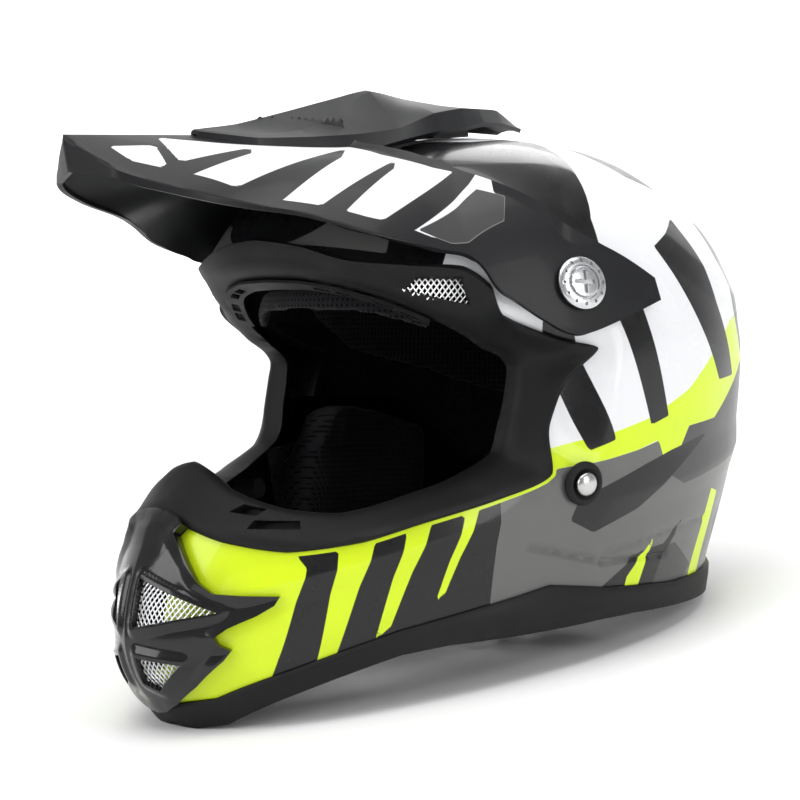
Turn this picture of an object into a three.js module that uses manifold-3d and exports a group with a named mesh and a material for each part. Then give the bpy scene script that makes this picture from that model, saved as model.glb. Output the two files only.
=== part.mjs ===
// A motocross helmet: shell, liner, peak, vents, rubber trims, pads and chin strap.
// Millimetres, +Z up, the face towards -Y, the wearer's left side at +X.
//
// Everything is first laid out in the wearing attitude, with the chin's lowest point near z = 0.
// The last group pitches the helmet back until the chin and the neck trim stand on z = 0.

import * as THREE from 'three';
import { mergeVertices } from 'three/addons/utils/BufferGeometryUtils.js';
import Module from 'manifold-3d';

const wasm = await Module();
wasm.setup();

// ---- driving dimensions ----

const REST_PITCH = THREE.MathUtils.degToRad( 9.6 );  // wearing attitude to standing attitude
const REST_LEVEL = 25;                  // height of the standing plane before the last shift
const SHELL_THICKNESS = 4;
const LIP_GAP = 1.4;                    // between the shell skin and a trim's lip
// heights are measured outwards from the shell's outer skin
const LINER_OUTSIDE = - SHELL_THICKNESS - 2.6;
const LINER_INSIDE = - 27;
const PAD_OUTSIDE = LINER_INSIDE - 2.6;
const PAD_INSIDE = LINER_INSIDE - 10;
const PEAK_THICKNESS = 2.6;
const PEAK_CLEARANCE = 4.2;             // free air between the skin and the peak

const HINGE = { y: - 34, z: 192 };      // the side screws' axis, along X
const SCREW_HEAD_RADIUS = 12;
const SCREW_SHANK_RADIUS = 3;
const RIVET_PLACE = { phi: 80, z: 105 };    // where the strap rivets pass the shell
const RIVET_HEAD_RADIUS = 5.4;
const WASHER_RADIUS = 10;
const STRAP_WIDTH = 22;
const STRAP_THICKNESS = 1.8;

// Level slices of the shell skin. front and rear are y at the centre line, half is the half width,
// mid is the y of the widest place, and blunt sets how square each half of the slice is
// (2 is an ellipse, less is pointed).
const SLICES = [
	{ z: - 6, front: - 166, rear: 122, half: 98, mid: - 12, bluntFront: 1.75, bluntRear: 2.2 },
	{ z: 12, front: - 181, rear: 122, half: 101, mid: - 12, bluntFront: 1.75, bluntRear: 2.2 },
	{ z: 33, front: - 189, rear: 123, half: 104, mid: - 12, bluntFront: 1.75, bluntRear: 2.2 },
	{ z: 60, front: - 186, rear: 126, half: 108, mid: - 10, bluntFront: 1.8, bluntRear: 2.2 },
	{ z: 85, front: - 179, rear: 133, half: 113, mid: - 8, bluntFront: 1.85, bluntRear: 2.2 },
	{ z: 110, front: - 164, rear: 141, half: 117, mid: - 4, bluntFront: 1.9, bluntRear: 2.15 },
	{ z: 140, front: - 148, rear: 146, half: 120, mid: 0, bluntFront: 2, bluntRear: 2.1 },
	{ z: 170, front: - 139, rear: 146, half: 120, mid: 4, bluntFront: 2.05, bluntRear: 2.1 },
	{ z: 200, front: - 131, rear: 138, half: 114, mid: 6, bluntFront: 2.1, bluntRear: 2.1 },
	{ z: 222, front: - 119, rear: 125, half: 103, mid: 6, bluntFront: 2.1, bluntRear: 2.1 },
	{ z: 240, front: - 101, rear: 107, half: 87, mid: 6, bluntFront: 2.05, bluntRear: 2.05 },
	{ z: 254, front: - 75, rear: 83, half: 66, mid: 6, bluntFront: 2, bluntRear: 2 },
	{ z: 263, front: - 42, rear: 51, half: 40, mid: 6, bluntFront: 2, bluntRear: 2 },
	{ z: 267, front: 6, rear: 6, half: 0, mid: 6, bluntFront: 2, bluntRear: 2 },
];
const CROWN = SLICES.length - 1;

// The eyeport trim, from the brow down the wearer's left side to the chin: each station gives
// the trim's outer edge on the shell and its inner edge round the opening, as [phi, z], and how
// deep the inner edge lies below the skin.
// phi is the angle round the shell in degrees, 0 at the face and 90 at the left ear.
const EYEPORT_STATIONS = [
	[[ 0, 214 ], [ 0, 201.5 ], 8 ],
	[[ 15, 210.5 ], [ 12, 200.5 ], 8 ],
	[[ 28, 203.5 ], [ 24, 196.5 ], 9 ],
	[[ 40, 202 ], [ 35.5, 190.5 ], 12 ],
	[[ 52, 201 ], [ 46.5, 182 ], 15 ],
	[[ 57.5, 193 ], [ 55, 174 ], 12 ],
	[[ 60, 180 ], [ 59.5, 168.5 ], 11 ],
	[[ 72.5, 170.5 ], [ 64, 164 ], 10 ],
	[[ 80.8, 165.5 ], [ 66.5, 158 ], 10 ],
	[[ 75.8, 150 ], [ 67, 148 ], 10 ],
	[[ 73.9, 130 ], [ 67, 133 ], 10 ],
	[[ 74, 109 ], [ 66.5, 116 ], 14 ],
	[[ 64.4, 98 ], [ 58, 106 ], 18 ],
	[[ 54, 89 ], [ 50, 101.5 ], 17 ],
	[[ 45, 81 ], [ 40, 95.5 ], 12 ],
	[[ 33, 76.8 ], [ 29, 97.3 ], 8 ],
	[[ 20, 80.5 ], [ 16, 104 ], 4 ],
	[[ 9, 86.5 ], [ 6.5, 112 ], 2 ],
	[[ 0, 90.5 ], [ 0, 115 ], 2 ],
];
const EYEPORT_CENTRE = [ 0, 150 ];
const LIP_SHARE = 0.12;                 // how far across the trim the shell reaches under it

// The hollow of the cheek beside the eyeport: its middle, its reach and its depth.
const HOLLOW = { phi: 65, z: 146, reach: 21, above: 38, below: 42, depth: 13 };

const HEM_STATIONS = 88;                // cells round the shell
const EYEPORT_CELLS = 54;               // cells round the eyeport

// The shell's lower edge, as [phi, z], from the chin round the left side to the nape.
const SHELL_HEM = [[ 0, 3 ], [ 20, 9 ], [ 37, 23 ], [ 54, 39 ], [ 71, 51 ], [ 78, 56 ], [ 91, 53 ],
	[ 110, 52 ], [ 126, 54 ], [ 150, 58 ], [ 180, 60 ]];
// The neck trim's lowest edge.
const TRIM_HEM = [[ 0, - 4 ], [ 20, 2 ], [ 37, 17.5 ], [ 54, 32.5 ], [ 71, 36 ], [ 91, 41 ],
	[ 110, 44 ], [ 135, 44 ], [ 180, 44.5 ]];

// ---- the shell skin ----

// Value at position t (0 to the last index) on the Catmull-Rom curve through a slice column.
function sliceColumn( key, t ) {

	const i = Math.min( Math.floor( t ), CROWN - 1 );
	const f = t - i;
	const value = ( k ) => {

		if ( k < 0 ) return 2 * SLICES[ 0 ][ key ] - SLICES[ 1 ][ key ];
		if ( k <= CROWN ) return SLICES[ k ][ key ];
		// past the crown the surface continues down the far side
		const before = SLICES[ CROWN - 1 ][ key ];
		const centre = SLICES[ CROWN ][ key ];
		const mirrors = key === 'front' || key === 'rear' || key === 'half';
		return mirrors ? 2 * centre - before : before;

	};

	const [ a, b, c, d ] = [ value( i - 1 ), value( i ), value( i + 1 ), value( i + 2 ) ];
	return 0.5 * ( 2 * b + ( c - a ) * f + ( 2 * a - 5 * b + 4 * c - d ) * f * f
		+ ( 3 * b - a - 3 * c + d ) * f * f * f );

}

// Position along the slices that lies at height z.
function sliceAt( z ) {

	let low = 0;
	let high = CROWN;
	for ( let step = 0; step < 40; step ++ ) {

		const middle = ( low + high ) / 2;
		if ( sliceColumn( 'z', middle ) < z ) low = middle;
		else high = middle;

	}

	return ( low + high ) / 2;

}

function slicePoint( phi, t ) {

	const angle = THREE.MathUtils.degToRad( phi );
	const s = Math.sin( angle );
	const c = Math.cos( angle );
	const inFront = c >= 0;
	const mid = sliceColumn( 'mid', t );
	const power = 2 / sliceColumn( inFront ? 'bluntFront' : 'bluntRear', t );
	const reach = inFront ? mid - sliceColumn( 'front', t ) : sliceColumn( 'rear', t ) - mid;
	return new THREE.Vector3(
		sliceColumn( 'half', t ) * Math.sign( s ) * Math.abs( s ) ** power,
		mid - reach * Math.sign( c ) * Math.abs( c ) ** power,
		sliceColumn( 'z', t ) );

}

const CROWN_POINT = slicePoint( 0, CROWN );

function sliceNormal( phi, t ) {

	const spread = 5;
	const rise = 0.03;
	if ( t > CROWN - 0.02 ) return new THREE.Vector3( 0, 0, 1 );
	const across = slicePoint( phi + spread, t ).sub( slicePoint( phi - spread, t ) );
	const above = slicePoint( phi, Math.min( t + rise, CROWN ) );
	const up = above.sub( slicePoint( phi, Math.max( t - rise, 0 ) ) );
	return across.cross( up ).normalize();

}

// The point `height` millimetres out from the skin at angle phi and level z.
// How deep the cheek is hollowed beside the eyeport.
function cheekHollow( phi, z ) {

	const turn = Math.abs( THREE.MathUtils.euclideanModulo( phi + 180, 360 ) - 180 );
	const across = ( turn - HOLLOW.phi ) / HOLLOW.reach;
	const up = ( z - HOLLOW.z ) / ( z > HOLLOW.z ? HOLLOW.above : HOLLOW.below );
	return HOLLOW.depth * ( Math.max( 1 - across ** 4, 0 ) * Math.max( 1 - up ** 4, 0 ) ) ** 2;

}

function skin( phi, z, height = 0 ) {

	const t = sliceAt( z );
	return slicePoint( phi, t ).addScaledVector( sliceNormal( phi, t ), height - cheekHollow( phi, z ) );

}

function skinNormal( phi, z ) {

	return sliceNormal( phi, sliceAt( z ) );

}

// How far a point lies outside the skin, to first order, and the way out.
function outwards( point ) {

	const level = ( p ) => {

		const t = sliceAt( Math.min( p.z, SLICES[ CROWN ].z - 0.5 ) );
		const mid = sliceColumn( 'mid', t );
		const inFront = p.y < mid;
		const blunt = sliceColumn( inFront ? 'bluntFront' : 'bluntRear', t );
		const reach = Math.abs( sliceColumn( inFront ? 'front' : 'rear', t ) - mid );
		const x = Math.abs( p.x ) / sliceColumn( 'half', t );
		const y = Math.abs( p.y - mid ) / reach;
		return ( x ** blunt + y ** blunt ) ** ( 1 / blunt ) - 1;

	};

	const here = level( point );
	const slope = new THREE.Vector3();
	for ( const axis of [ 'x', 'y', 'z' ] ) {

		const ahead = point.clone();
		ahead[ axis ] += 0.5;
		const behind = point.clone();
		behind[ axis ] -= 0.5;
		slope[ axis ] = level( ahead ) - level( behind );

	}

	const steepness = slope.length();
	return { distance: here / steepness, direction: slope.divideScalar( steepness ) };

}

// Linear interpolation along a list of [phi, z] points, mirrored to the right side.
function hemHeight( hem, phi ) {

	const turn = Math.abs( THREE.MathUtils.euclideanModulo( phi + 180, 360 ) - 180 );
	const after = Math.max( hem.findIndex( ( [ angle ] ) => angle >= turn - 1e-9 ), 1 );
	const [ phiA, zA ] = hem[ after - 1 ];
	const [ phiB, zB ] = hem[ after ];
	return zA + ( zB - zA ) * ( turn - phiA ) / ( phiB - phiA );

}

// ---- closed bodies from grids of points ----

function signedVolume( positions, index ) {

	const [ a, b, c ] = [ new THREE.Vector3(), new THREE.Vector3(), new THREE.Vector3() ];
	let volume = 0;
	for ( let i = 0; i < index.length; i += 3 ) {

		a.fromArray( positions, index[ i ] * 3 );
		b.fromArray( positions, index[ i + 1 ] * 3 );
		c.fromArray( positions, index[ i + 2 ] * 3 );
		volume += a.dot( b.cross( c ) ) / 6;

	}

	return volume;

}

function turnedOver( index ) {

	const over = index.slice();
	for ( let i = 0; i < over.length; i += 3 ) [ over[ i ], over[ i + 1 ] ] = [ over[ i + 1 ], over[ i ] ];
	return over;

}

// A geometry from points and triangles, turned so that its faces point out.
function closedBody( points, triangles ) {

	const positions = points.flatMap( ( p ) => p.toArray() );
	let index = triangles.flat();
	if ( signedVolume( positions, index ) < 0 ) index = turnedOver( index );
	const geometry = new THREE.BufferGeometry();
	geometry.setAttribute( 'position', new THREE.Float32BufferAttribute( positions, 3 ) );
	geometry.setIndex( index );
	return geometry;

}

function quad( triangles, a, b, c, d ) {

	triangles.push( [ a, b, c ], [ a, c, d ] );

}

// A plate with `columns` by `rows` cells. place( u, v, side ) gives its points, side 0 or 1.
function plate( columns, rows, place ) {

	const points = [];
	const triangles = [];
	const at = ( i, j, side ) => ( side * ( rows + 1 ) + j ) * ( columns + 1 ) + i;
	for ( const side of [ 0, 1 ] ) {

		for ( let j = 0; j <= rows; j ++ ) {

			for ( let i = 0; i <= columns; i ++ ) points.push( place( i / columns, j / rows, side ) );

		}

	}

	for ( let j = 0; j < rows; j ++ ) {

		for ( let i = 0; i < columns; i ++ ) {

			quad( triangles, at( i, j, 0 ), at( i + 1, j, 0 ), at( i + 1, j + 1, 0 ), at( i, j + 1, 0 ) );
			quad( triangles, at( i, j, 1 ), at( i, j + 1, 1 ), at( i + 1, j + 1, 1 ), at( i + 1, j, 1 ) );

		}

	}

	const rim = [];
	for ( let i = 0; i < columns; i ++ ) rim.push( [ i, 0 ] );
	for ( let j = 0; j < rows; j ++ ) rim.push( [ columns, j ] );
	for ( let i = columns; i > 0; i -- ) rim.push( [ i, rows ] );
	for ( let j = rows; j > 0; j -- ) rim.push( [ 0, j ] );
	rim.forEach( ( from, k ) => {

		const to = rim[ ( k + 1 ) % rim.length ];
		quad( triangles, at( ...from, 0 ), at( ...from, 1 ), at( ...to, 1 ), at( ...to, 0 ) );

	} );
	return closedBody( points, triangles );

}

// A round plate: place( u, r, side ) with u going once round and r from 0 at the pole to 1.
function disc( columns, rings, place ) {

	const points = [ place( 0, 0, 0 ), place( 0, 0, 1 ) ];
	const triangles = [];
	const at = ( i, k, side ) => 2 + ( side * rings + k - 1 ) * columns + i % columns;
	for ( const side of [ 0, 1 ] ) {

		for ( let k = 1; k <= rings; k ++ ) {

			for ( let i = 0; i < columns; i ++ ) points.push( place( i / columns, k / rings, side ) );

		}

	}

	for ( let i = 0; i < columns; i ++ ) {

		triangles.push( [ 0, at( i, 1, 0 ), at( i + 1, 1, 0 ) ], [ 1, at( i + 1, 1, 1 ), at( i, 1, 1 ) ] );
		for ( let k = 1; k < rings; k ++ ) {

			quad( triangles, at( i, k, 0 ), at( i, k + 1, 0 ), at( i + 1, k + 1, 0 ), at( i + 1, k, 0 ) );
			quad( triangles, at( i, k, 1 ), at( i + 1, k, 1 ), at( i + 1, k + 1, 1 ), at( i, k + 1, 1 ) );

		}

		quad( triangles, at( i, rings, 0 ), at( i, rings, 1 ), at( i + 1, rings, 1 ), at( i + 1, rings, 0 ) );

	}

	return closedBody( points, triangles );

}

// A ring: place( u ) gives the closed section's points at u, and u goes once round.
function ring( stations, place ) {

	const sections = Array.from( { length: stations }, ( _, i ) => place( i / stations ) );
	const count = sections[ 0 ].length;
	const triangles = [];
	const at = ( i, k ) => ( i % stations ) * count + k % count;
	for ( let i = 0; i < stations; i ++ ) {

		for ( let k = 0; k < count; k ++ ) {

			quad( triangles, at( i, k ), at( i + 1, k ), at( i + 1, k + 1 ), at( i, k + 1 ) );

		}

	}

	return closedBody( sections.flat(), triangles );

}

function mirrored( geometry ) {

	const copy = geometry.clone().scale( - 1, 1, 1 );
	copy.setIndex( turnedOver( Array.from( copy.index.array ) ) );
	return copy;

}

// ---- cuts ----

function toSolid( geometry ) {

	const plain = geometry.clone();
	for ( const name of [ 'normal', 'uv' ] ) plain.deleteAttribute( name );
	const merged = mergeVertices( plain, 1e-4 );
	return new wasm.Manifold( new wasm.Mesh( {
		numProp: 3,
		vertProperties: new Float32Array( merged.attributes.position.array ),
		triVerts: new Uint32Array( merged.index.array ),
	} ) );

}

function toGeometry( solid ) {

	const mesh = solid.getMesh();
	const geometry = new THREE.BufferGeometry();
	geometry.setAttribute( 'position', new THREE.BufferAttribute( mesh.vertProperties.slice(), 3 ) );
	geometry.setIndex( new THREE.BufferAttribute( mesh.triVerts.slice(), 1 ) );
	return geometry;

}

function cut( body, ...tools ) {

	let solid = toSolid( body );
	for ( const tool of tools ) solid = solid.subtract( toSolid( tool ) );
	return toGeometry( solid );

}

// Turns a geometry made about +Y so that +Y points along `axis`, then moves it to `place`.
function aim( geometry, place, axis ) {

	const turn = new THREE.Quaternion().setFromUnitVectors( new THREE.Vector3( 0, 1, 0 ), axis );
	return geometry.applyQuaternion( turn ).translate( place.x, place.y, place.z );

}

// A turned piece: outline of [radius, height] pairs about the axis at `place`.
function turned( outline, segments, place, axis ) {

	const profile = outline.map( ( [ r, h ] ) => new THREE.Vector2( r, h ) );
	return aim( new THREE.LatheGeometry( profile, segments ), place, axis );

}

function rod( radius, low, high, place, axis, segments = 14 ) {

	return turned( [[ 0, low ], [ radius, low ], [ radius, high ], [ 0, high ]], segments, place, axis );

}

// ---- shared outlines ----

// The eyeport outline at fraction `share` of the way from the trim's outer edge (0) to its
// inner edge (1), as [phi, z] and the depth below the skin, where u goes once round from the
// brow down the left side.
function eyeportOutline( u, share ) {

	const last = EYEPORT_STATIONS.length - 1;
	const k = ( u <= 0.5 ? u : 1 - u ) * 2 * last;
	const i = Math.min( Math.floor( k ), last - 1 );
	const f = k - i;
	const station = ( n ) => {

		const [ outer, inner, depth ] = EYEPORT_STATIONS[ n ];
		const mixed = outer.map( ( value, axis ) => value + ( inner[ axis ] - value ) * share );
		return [ ...mixed, depth * Math.max( share - LIP_SHARE, 0 ) / ( 1 - LIP_SHARE ) ];

	};

	const next = station( i + 1 );
	const [ phi, z, depth ] = station( i ).map( ( value, n ) => value + ( next[ n ] - value ) * f );
	return [ u <= 0.5 ? phi : - phi, z, depth ];

}

function eyeportPunch( share, low, high ) {

	return disc( EYEPORT_CELLS, 3, ( u, r, side ) => {

		const [ phi, z ] = eyeportOutline( u, share );
		const [ phi0, z0 ] = EYEPORT_CENTRE;
		return skin( phi0 + ( phi - phi0 ) * r, z0 + ( z - z0 ) * r, side ? high : low );

	} );

}

// A thick dome from the crown down to a hem.
function dome( columns, rings, hem, outer, inner ) {

	return disc( columns, rings, ( u, r, side ) => {

		const height = side ? outer : inner;
		if ( r === 0 ) return CROWN_POINT.clone().add( new THREE.Vector3( 0, 0, height ) );
		const phi = u * 360;
		const t = CROWN + ( sliceAt( hem( phi ) ) - CROWN ) * r;
		const place = slicePoint( phi, t );
		return place.addScaledVector( sliceNormal( phi, t ), height - cheekHollow( phi, place.z ) );

	} );

}

// A patch of constant thickness on the skin, between two lists of [phi, z] corner points.
function patch( columns, rows, lower, upper, low, high ) {

	const along = ( line, u ) => {

		const k = u * ( line.length - 1 );
		const i = Math.min( Math.floor( k ), line.length - 2 );
		return line[ i ].map( ( value, axis ) => value + ( line[ i + 1 ][ axis ] - value ) * ( k - i ) );

	};

	return plate( columns, rows, ( u, v, side ) => {

		const a = along( lower, u );
		const b = along( upper, u );
		return skin( a[ 0 ] + ( b[ 0 ] - a[ 0 ] ) * v, a[ 1 ] + ( b[ 1 ] - a[ 1 ] ) * v, side ? high : low );

	} );

}

// ---- screw, rivet and strap places ----

// The skin point and outward normal where the left side screw passes.
function sideScrewSeat() {

	let phi = 76;
	for ( let step = 0; step < 30; step ++ ) phi += ( HINGE.y - skin( phi, HINGE.z ).y ) * 0.3;
	return { phi, place: skin( phi, HINGE.z ), axis: skinNormal( phi, HINGE.z ) };

}

const SCREW_SEAT = sideScrewSeat();
const RIVET_SEAT = {
	place: skin( RIVET_PLACE.phi, RIVET_PLACE.z ),
	axis: skinNormal( RIVET_PLACE.phi, RIVET_PLACE.z ),
};

// ---- shell and liner ----

function mouthDuct( low, high ) {

	const across = ( z ) => [[ - 9, z ], [ 9, z ]];
	return patch( 3, 3, across( 24 ), across( 64 ), low, high );

}

function outerShell() {

	const hem = ( phi ) => hemHeight( SHELL_HEM, phi );
	const body = dome( HEM_STATIONS, 24, hem, 0, - SHELL_THICKNESS );
	const screwHole = rod( SCREW_SHANK_RADIUS + 0.5, - 12, 12, SCREW_SEAT.place, SCREW_SEAT.axis );
	const rivetHole = rod( SCREW_SHANK_RADIUS + 0.5, - 14, 12, RIVET_SEAT.place, RIVET_SEAT.axis );
	return cut( body, eyeportPunch( LIP_SHARE, - 12, 12 ), mouthDuct( - 12, 12 ),
		screwHole, mirrored( screwHole ), rivetHole, mirrored( rivetHole ) );

}

function epsLiner() {

	const edge = [[ 0, 150 ], [ 60, 140 ], [ 105, 137 ], [ 125, 102 ], [ 180, 92 ]];
	const hem = ( phi ) => hemHeight( edge, phi );
	const body = dome( HEM_STATIONS, 10, hem, LINER_OUTSIDE, LINER_INSIDE );
	const insertPocket = rod( 9, - 12, 0, SCREW_SEAT.place, SCREW_SEAT.axis );
	return cut( body, eyeportPunch( 0.1, - 40, 12 ), insertPocket, mirrored( insertPocket ) );

}

function chinLiner() {

	// the left half; the breathing duct separates it from the right half
	const lower = [[ 12, 16 ], [ 26, 22 ], [ 40, 34 ], [ 56, 47 ]];
	const upper = [[ 12, 74 ], [ 26, 71 ], [ 40, 72 ], [ 56, 84 ]];
	return patch( 9, 3, lower, upper, LINER_OUTSIDE - 1, - 22 );

}

// ---- rubber trims ----

function eyeportTrim() {

	// [share across the trim, height over the skin], round one section
	const foot = LIP_SHARE + 0.05;
	const section = [
		[ 0, LIP_GAP ], [ 0, 2 ], [ 0.14, 3 ], [ 0.8, 3 ], [ 0.97, 1.6 ], [ 1, 0 ],
		[ 1, - 8 ], [ 0.72, - 9 ], [ foot, - 6 ], [ foot, LIP_GAP ],
	];
	const body = ring( EYEPORT_CELLS, ( u ) => section.map( ( [ share, height ] ) => {

		const [ phi, z, depth ] = eyeportOutline( u, share );
		return skin( phi, z, height - depth );

	} ) );
	const vent = window( BROW_WINDOW, - 24, 8 );
	return cut( body, vent, mirrored( vent ) );

}

function neckTrim() {

	const body = ring( HEM_STATIONS, ( u ) => {

		const phi = u * 360;
		const hem = hemHeight( SHELL_HEM, phi );
		const low = hemHeight( TRIM_HEM, phi );
		const middle = ( hem + low ) / 2;
		return [
			skin( phi, hem + 3, LIP_GAP ), skin( phi, hem + 3, 2 ), skin( phi, middle, 2.6 ),
			skin( phi, low, 0.6 ), skin( phi, low, - 6 ), skin( phi, middle, - 8 ),
			skin( phi, hem - 0.6, - 6 ), skin( phi, hem - 0.6, LIP_GAP ),
		];

	} );
	// flat feet at the chin and the nape
	const depth = 40;
	const ground = new THREE.BoxGeometry( 400, 500, depth );
	ground.translate( 0, 0, REST_LEVEL - depth / 2 ).rotateX( REST_PITCH );
	return cut( body, ground );

}

// ---- mouth vent ----

// Half outline of the vent cover from the centre line outwards, as pairs of upper and lower
// [phi, z] edges.
const COVER_UPPER = [[ 0, 88.5 ], [ 8, 84 ], [ 15, 72 ], [ 22, 62 ], [ 33.5, 58 ]];
const COVER_LOWER = [[ 0, 8 ], [ 6, 11 ], [ 14, 21 ], [ 24, 38 ], [ 33.5, 54 ]];
const UPPER_WINDOW = { lower: [[ 3.2, 42 ], [ 22, 50 ]], upper: [[ 3.2, 62 ], [ 22, 51.5 ]] };
const LOWER_WINDOW = { lower: [[ 4, 22 ], [ 13.5, 27 ]], upper: [[ 4, 31 ], [ 13.5, 28.5 ]] };

function mirroredLine( line ) {

	return [ ...line.slice( 1 ).reverse().map( ( [ phi, z ] ) => [ - phi, z ] ), ...line ];

}

function window( shape, low, high ) {

	return patch( 2, 1, shape.lower, shape.upper, low, high );

}

function mouthVentCover() {

	const lower = mirroredLine( COVER_LOWER );
	const upper = mirroredLine( COVER_UPPER );
	const body = plate( 20, 6, ( u, v, side ) => {

		const line = ( points ) => {

			const k = u * ( points.length - 1 );
			const i = Math.min( Math.floor( k ), points.length - 2 );
			return points[ i ].map( ( value, axis ) => value + ( points[ i + 1 ][ axis ] - value ) * ( k - i ) );

		};

		const a = line( lower );
		const b = line( upper );
		// a raised ridge down the middle that thins towards the edges
		const ridge = 6.5 * ( 1 - Math.abs( 2 * u - 1 ) ) * Math.sin( Math.PI * v );
		const height = side ? 3 + ridge : 0.6 + ridge * 0.7;
		return skin( a[ 0 ] + ( b[ 0 ] - a[ 0 ] ) * v, a[ 1 ] + ( b[ 1 ] - a[ 1 ] ) * v, height );

	} );
	const windows = [ UPPER_WINDOW, LOWER_WINDOW ].map( ( shape ) => window( shape, - 6, 16 ) );
	return cut( body, ...windows, ...windows.map( mirrored ) );

}

// The woven panel that fills a window, a little smaller than the window.
function meshPanel( shape, low, high ) {

	const corners = [ ...shape.lower, ...shape.upper ];
	const mean = ( axis ) => corners.reduce( ( sum, c ) => sum + c[ axis ], 0 ) / corners.length;
	const centre = [ mean( 0 ), mean( 1 ) ];
	const inwards = ( value, axis ) => centre[ axis ] + ( value - centre[ axis ] ) * 0.86;
	const shrink = ( line ) => line.map( ( corner ) => corner.map( inwards ) );
	return patch( 4, 2, shrink( shape.lower ), shrink( shape.upper ), low, high );

}

function mouthFilter() {

	return patch( 6, 4, [[ - 7.5, 27 ], [ 7.5, 27 ]], [[ - 7.5, 61 ], [ 7.5, 61 ]], - 3.6, - 1 );

}

// ---- brow vents ----

const BROW_WINDOW = { lower: [[ 40.5, 192.5 ], [ 54, 185 ]], upper: [[ 42.5, 197 ], [ 52, 196.5 ]] };
const BROW_MESH_DEPTH = 9;             // of the mesh's lower edge below the skin
const DUCT_REACH = 46;                  // degrees to each side
const DUCT_SLOTS = [[ 14.8, 19.8 ], [ 21.2, 26 ], [ 31.8, 37 ], [ 38.5, 43.2 ]];

// The level of the opening's upper edge at an angle, and its depth below the skin.
const BROW_STATIONS = EYEPORT_STATIONS.slice( 0, 6 );

function browEdge( phi ) {

	return hemHeight( BROW_STATIONS.map( ( [ , edge ] ) => edge ), phi );

}

function browDepth( phi ) {

	return hemHeight( BROW_STATIONS.map( ( [ , edge, depth ] ) => [ edge[ 0 ], depth ] ), phi );

}

// The mesh follows the trim's fall towards the opening.
function browMesh() {

	const lower = [[ 41.5, 192.8 ], [ 52.5, 186.5 ]];
	const upper = [[ 43.2, 196.3 ], [ 51.2, 195.6 ]];
	return plate( 4, 2, ( u, v, side ) => {

		const at = ( axis ) => {

			const low = lower[ 0 ][ axis ] + ( lower[ 1 ][ axis ] - lower[ 0 ][ axis ] ) * u;
			const high = upper[ 0 ][ axis ] + ( upper[ 1 ][ axis ] - upper[ 0 ][ axis ] ) * u;
			return low + ( high - low ) * v;

		};

		return skin( at( 0 ), at( 1 ), ( side ? 1.6 : 0.8 ) - BROW_MESH_DEPTH * ( 1 - v / 2 ) );

	} );

}

// A strip just inside the brow, with the air outlets.
function browDuctStrip() {

	const band = ( from, to, low, high, top, bottom ) => {

		const columns = Math.ceil( ( to - from ) / 6 );
		return plate( columns, 1, ( u, v, side ) => {

			const phi = from + ( to - from ) * u;
			const height = low + ( high - low ) * v - browDepth( phi );
			return skin( phi, browEdge( phi ) + ( side ? top : bottom ), height );

		} );

	};

	const body = band( - DUCT_REACH, DUCT_REACH, - 12, - 3, - 1.2, - 2.8 );
	const slots = DUCT_SLOTS.map( ( [ from, to ] ) => band( from, to, - 9.5, - 5.5, 2, - 6 ) );
	return cut( body, ...slots, ...slots.map( mirrored ) );

}

// ---- padding ----

function crownPad() {

	const edge = [[ 0, 214 ], [ 60, 208 ], [ 90, 160 ], [ 130, 135 ], [ 180, 125 ]];
	const hem = ( phi ) => hemHeight( edge, phi );
	return dome( 28, 6, hem, PAD_OUTSIDE, PAD_INSIDE );

}

function browPad() {

	const lower = mirroredLine( [[ 0, 189 ], [ 30, 186 ], [ 56, 168 ]] );
	const upper = mirroredLine( [[ 0, 208 ], [ 30, 204 ], [ 56, 192 ]] );
	return patch( 16, 2, lower, upper, PAD_OUTSIDE, PAD_INSIDE );

}

function cheekPad() {

	const lower = [[ 71, 68 ], [ 88, 66 ], [ 112, 66 ]];
	const upper = [[ 73, 132 ], [ 88, 134 ], [ 112, 120 ]];
	return patch( 8, 5, lower, upper, - 19, - 46 );

}

function cheekSnap( phi ) {

	const level = 92;
	return rod( 5, - 18.4, - 5, skin( phi, level ), skinNormal( phi, level ), 14 );

}

function chinPad() {

	const lower = mirroredLine( [[ 0, 36 ], [ 26, 40 ], [ 48, 54 ]] );
	const upper = mirroredLine( [[ 0, 76 ], [ 26, 74 ], [ 48, 80 ]] );
	return patch( 14, 2, lower, upper, - 23, - 30 );

}

function neckRoll() {

	const lower = [[ 122, 60 ], [ 180, 60 ], [ 238, 60 ]];
	const upper = [[ 122, 88 ], [ 180, 86 ], [ 238, 88 ]];
	return patch( 16, 2, lower, upper, - 11, - 26 );

}

// ---- the peak ----

// Rear edge of the peak from the centre line to the end of the left arm, and its front and
// lower edge from the nose to the same arm's end.
const PEAK_REAR = [
	[ 0, - 88, 264 ], [ 12, - 88, 262 ], [ 25, - 87, 258 ], [ 38, - 82, 256 ], [ 52, - 76, 252.5 ],
	[ 64, - 71, 249 ], [ 74, - 66, 245 ], [ 82, - 62, 242 ], [ 90, - 54, 238 ], [ 97, - 47, 233.5 ],
	[ 104, - 40, 227 ], [ 110, - 35, 220.5 ], [ 114, - 24, 214.5 ], [ 118, - 8, 206.5 ], [ 122, 9, 197 ],
];
const PEAK_FRONT = [
	[ 0, - 229, 257 ], [ 24, - 217, 241.5 ], [ 39, - 196, 234 ], [ 50, - 169, 228 ],
	[ 66, - 149, 223.5 ], [ 82, - 126, 215.5 ], [ 92, - 98, 209 ], [ 98, - 80, 205 ],
	[ 105, - 72, 191 ], [ 110, - 66, 186 ], [ 116, - 55, 178 ], [ 121, - 43, 172 ],
	[ 123, - 33, 172 ], [ 125, - 12, 179 ], [ 125, 10, 187 ],
];
const PEAK_LIP = 5;          // depth of the rim under the front edge
const NOSE_DEPTH = 16;       // height of the nose's front face

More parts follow.
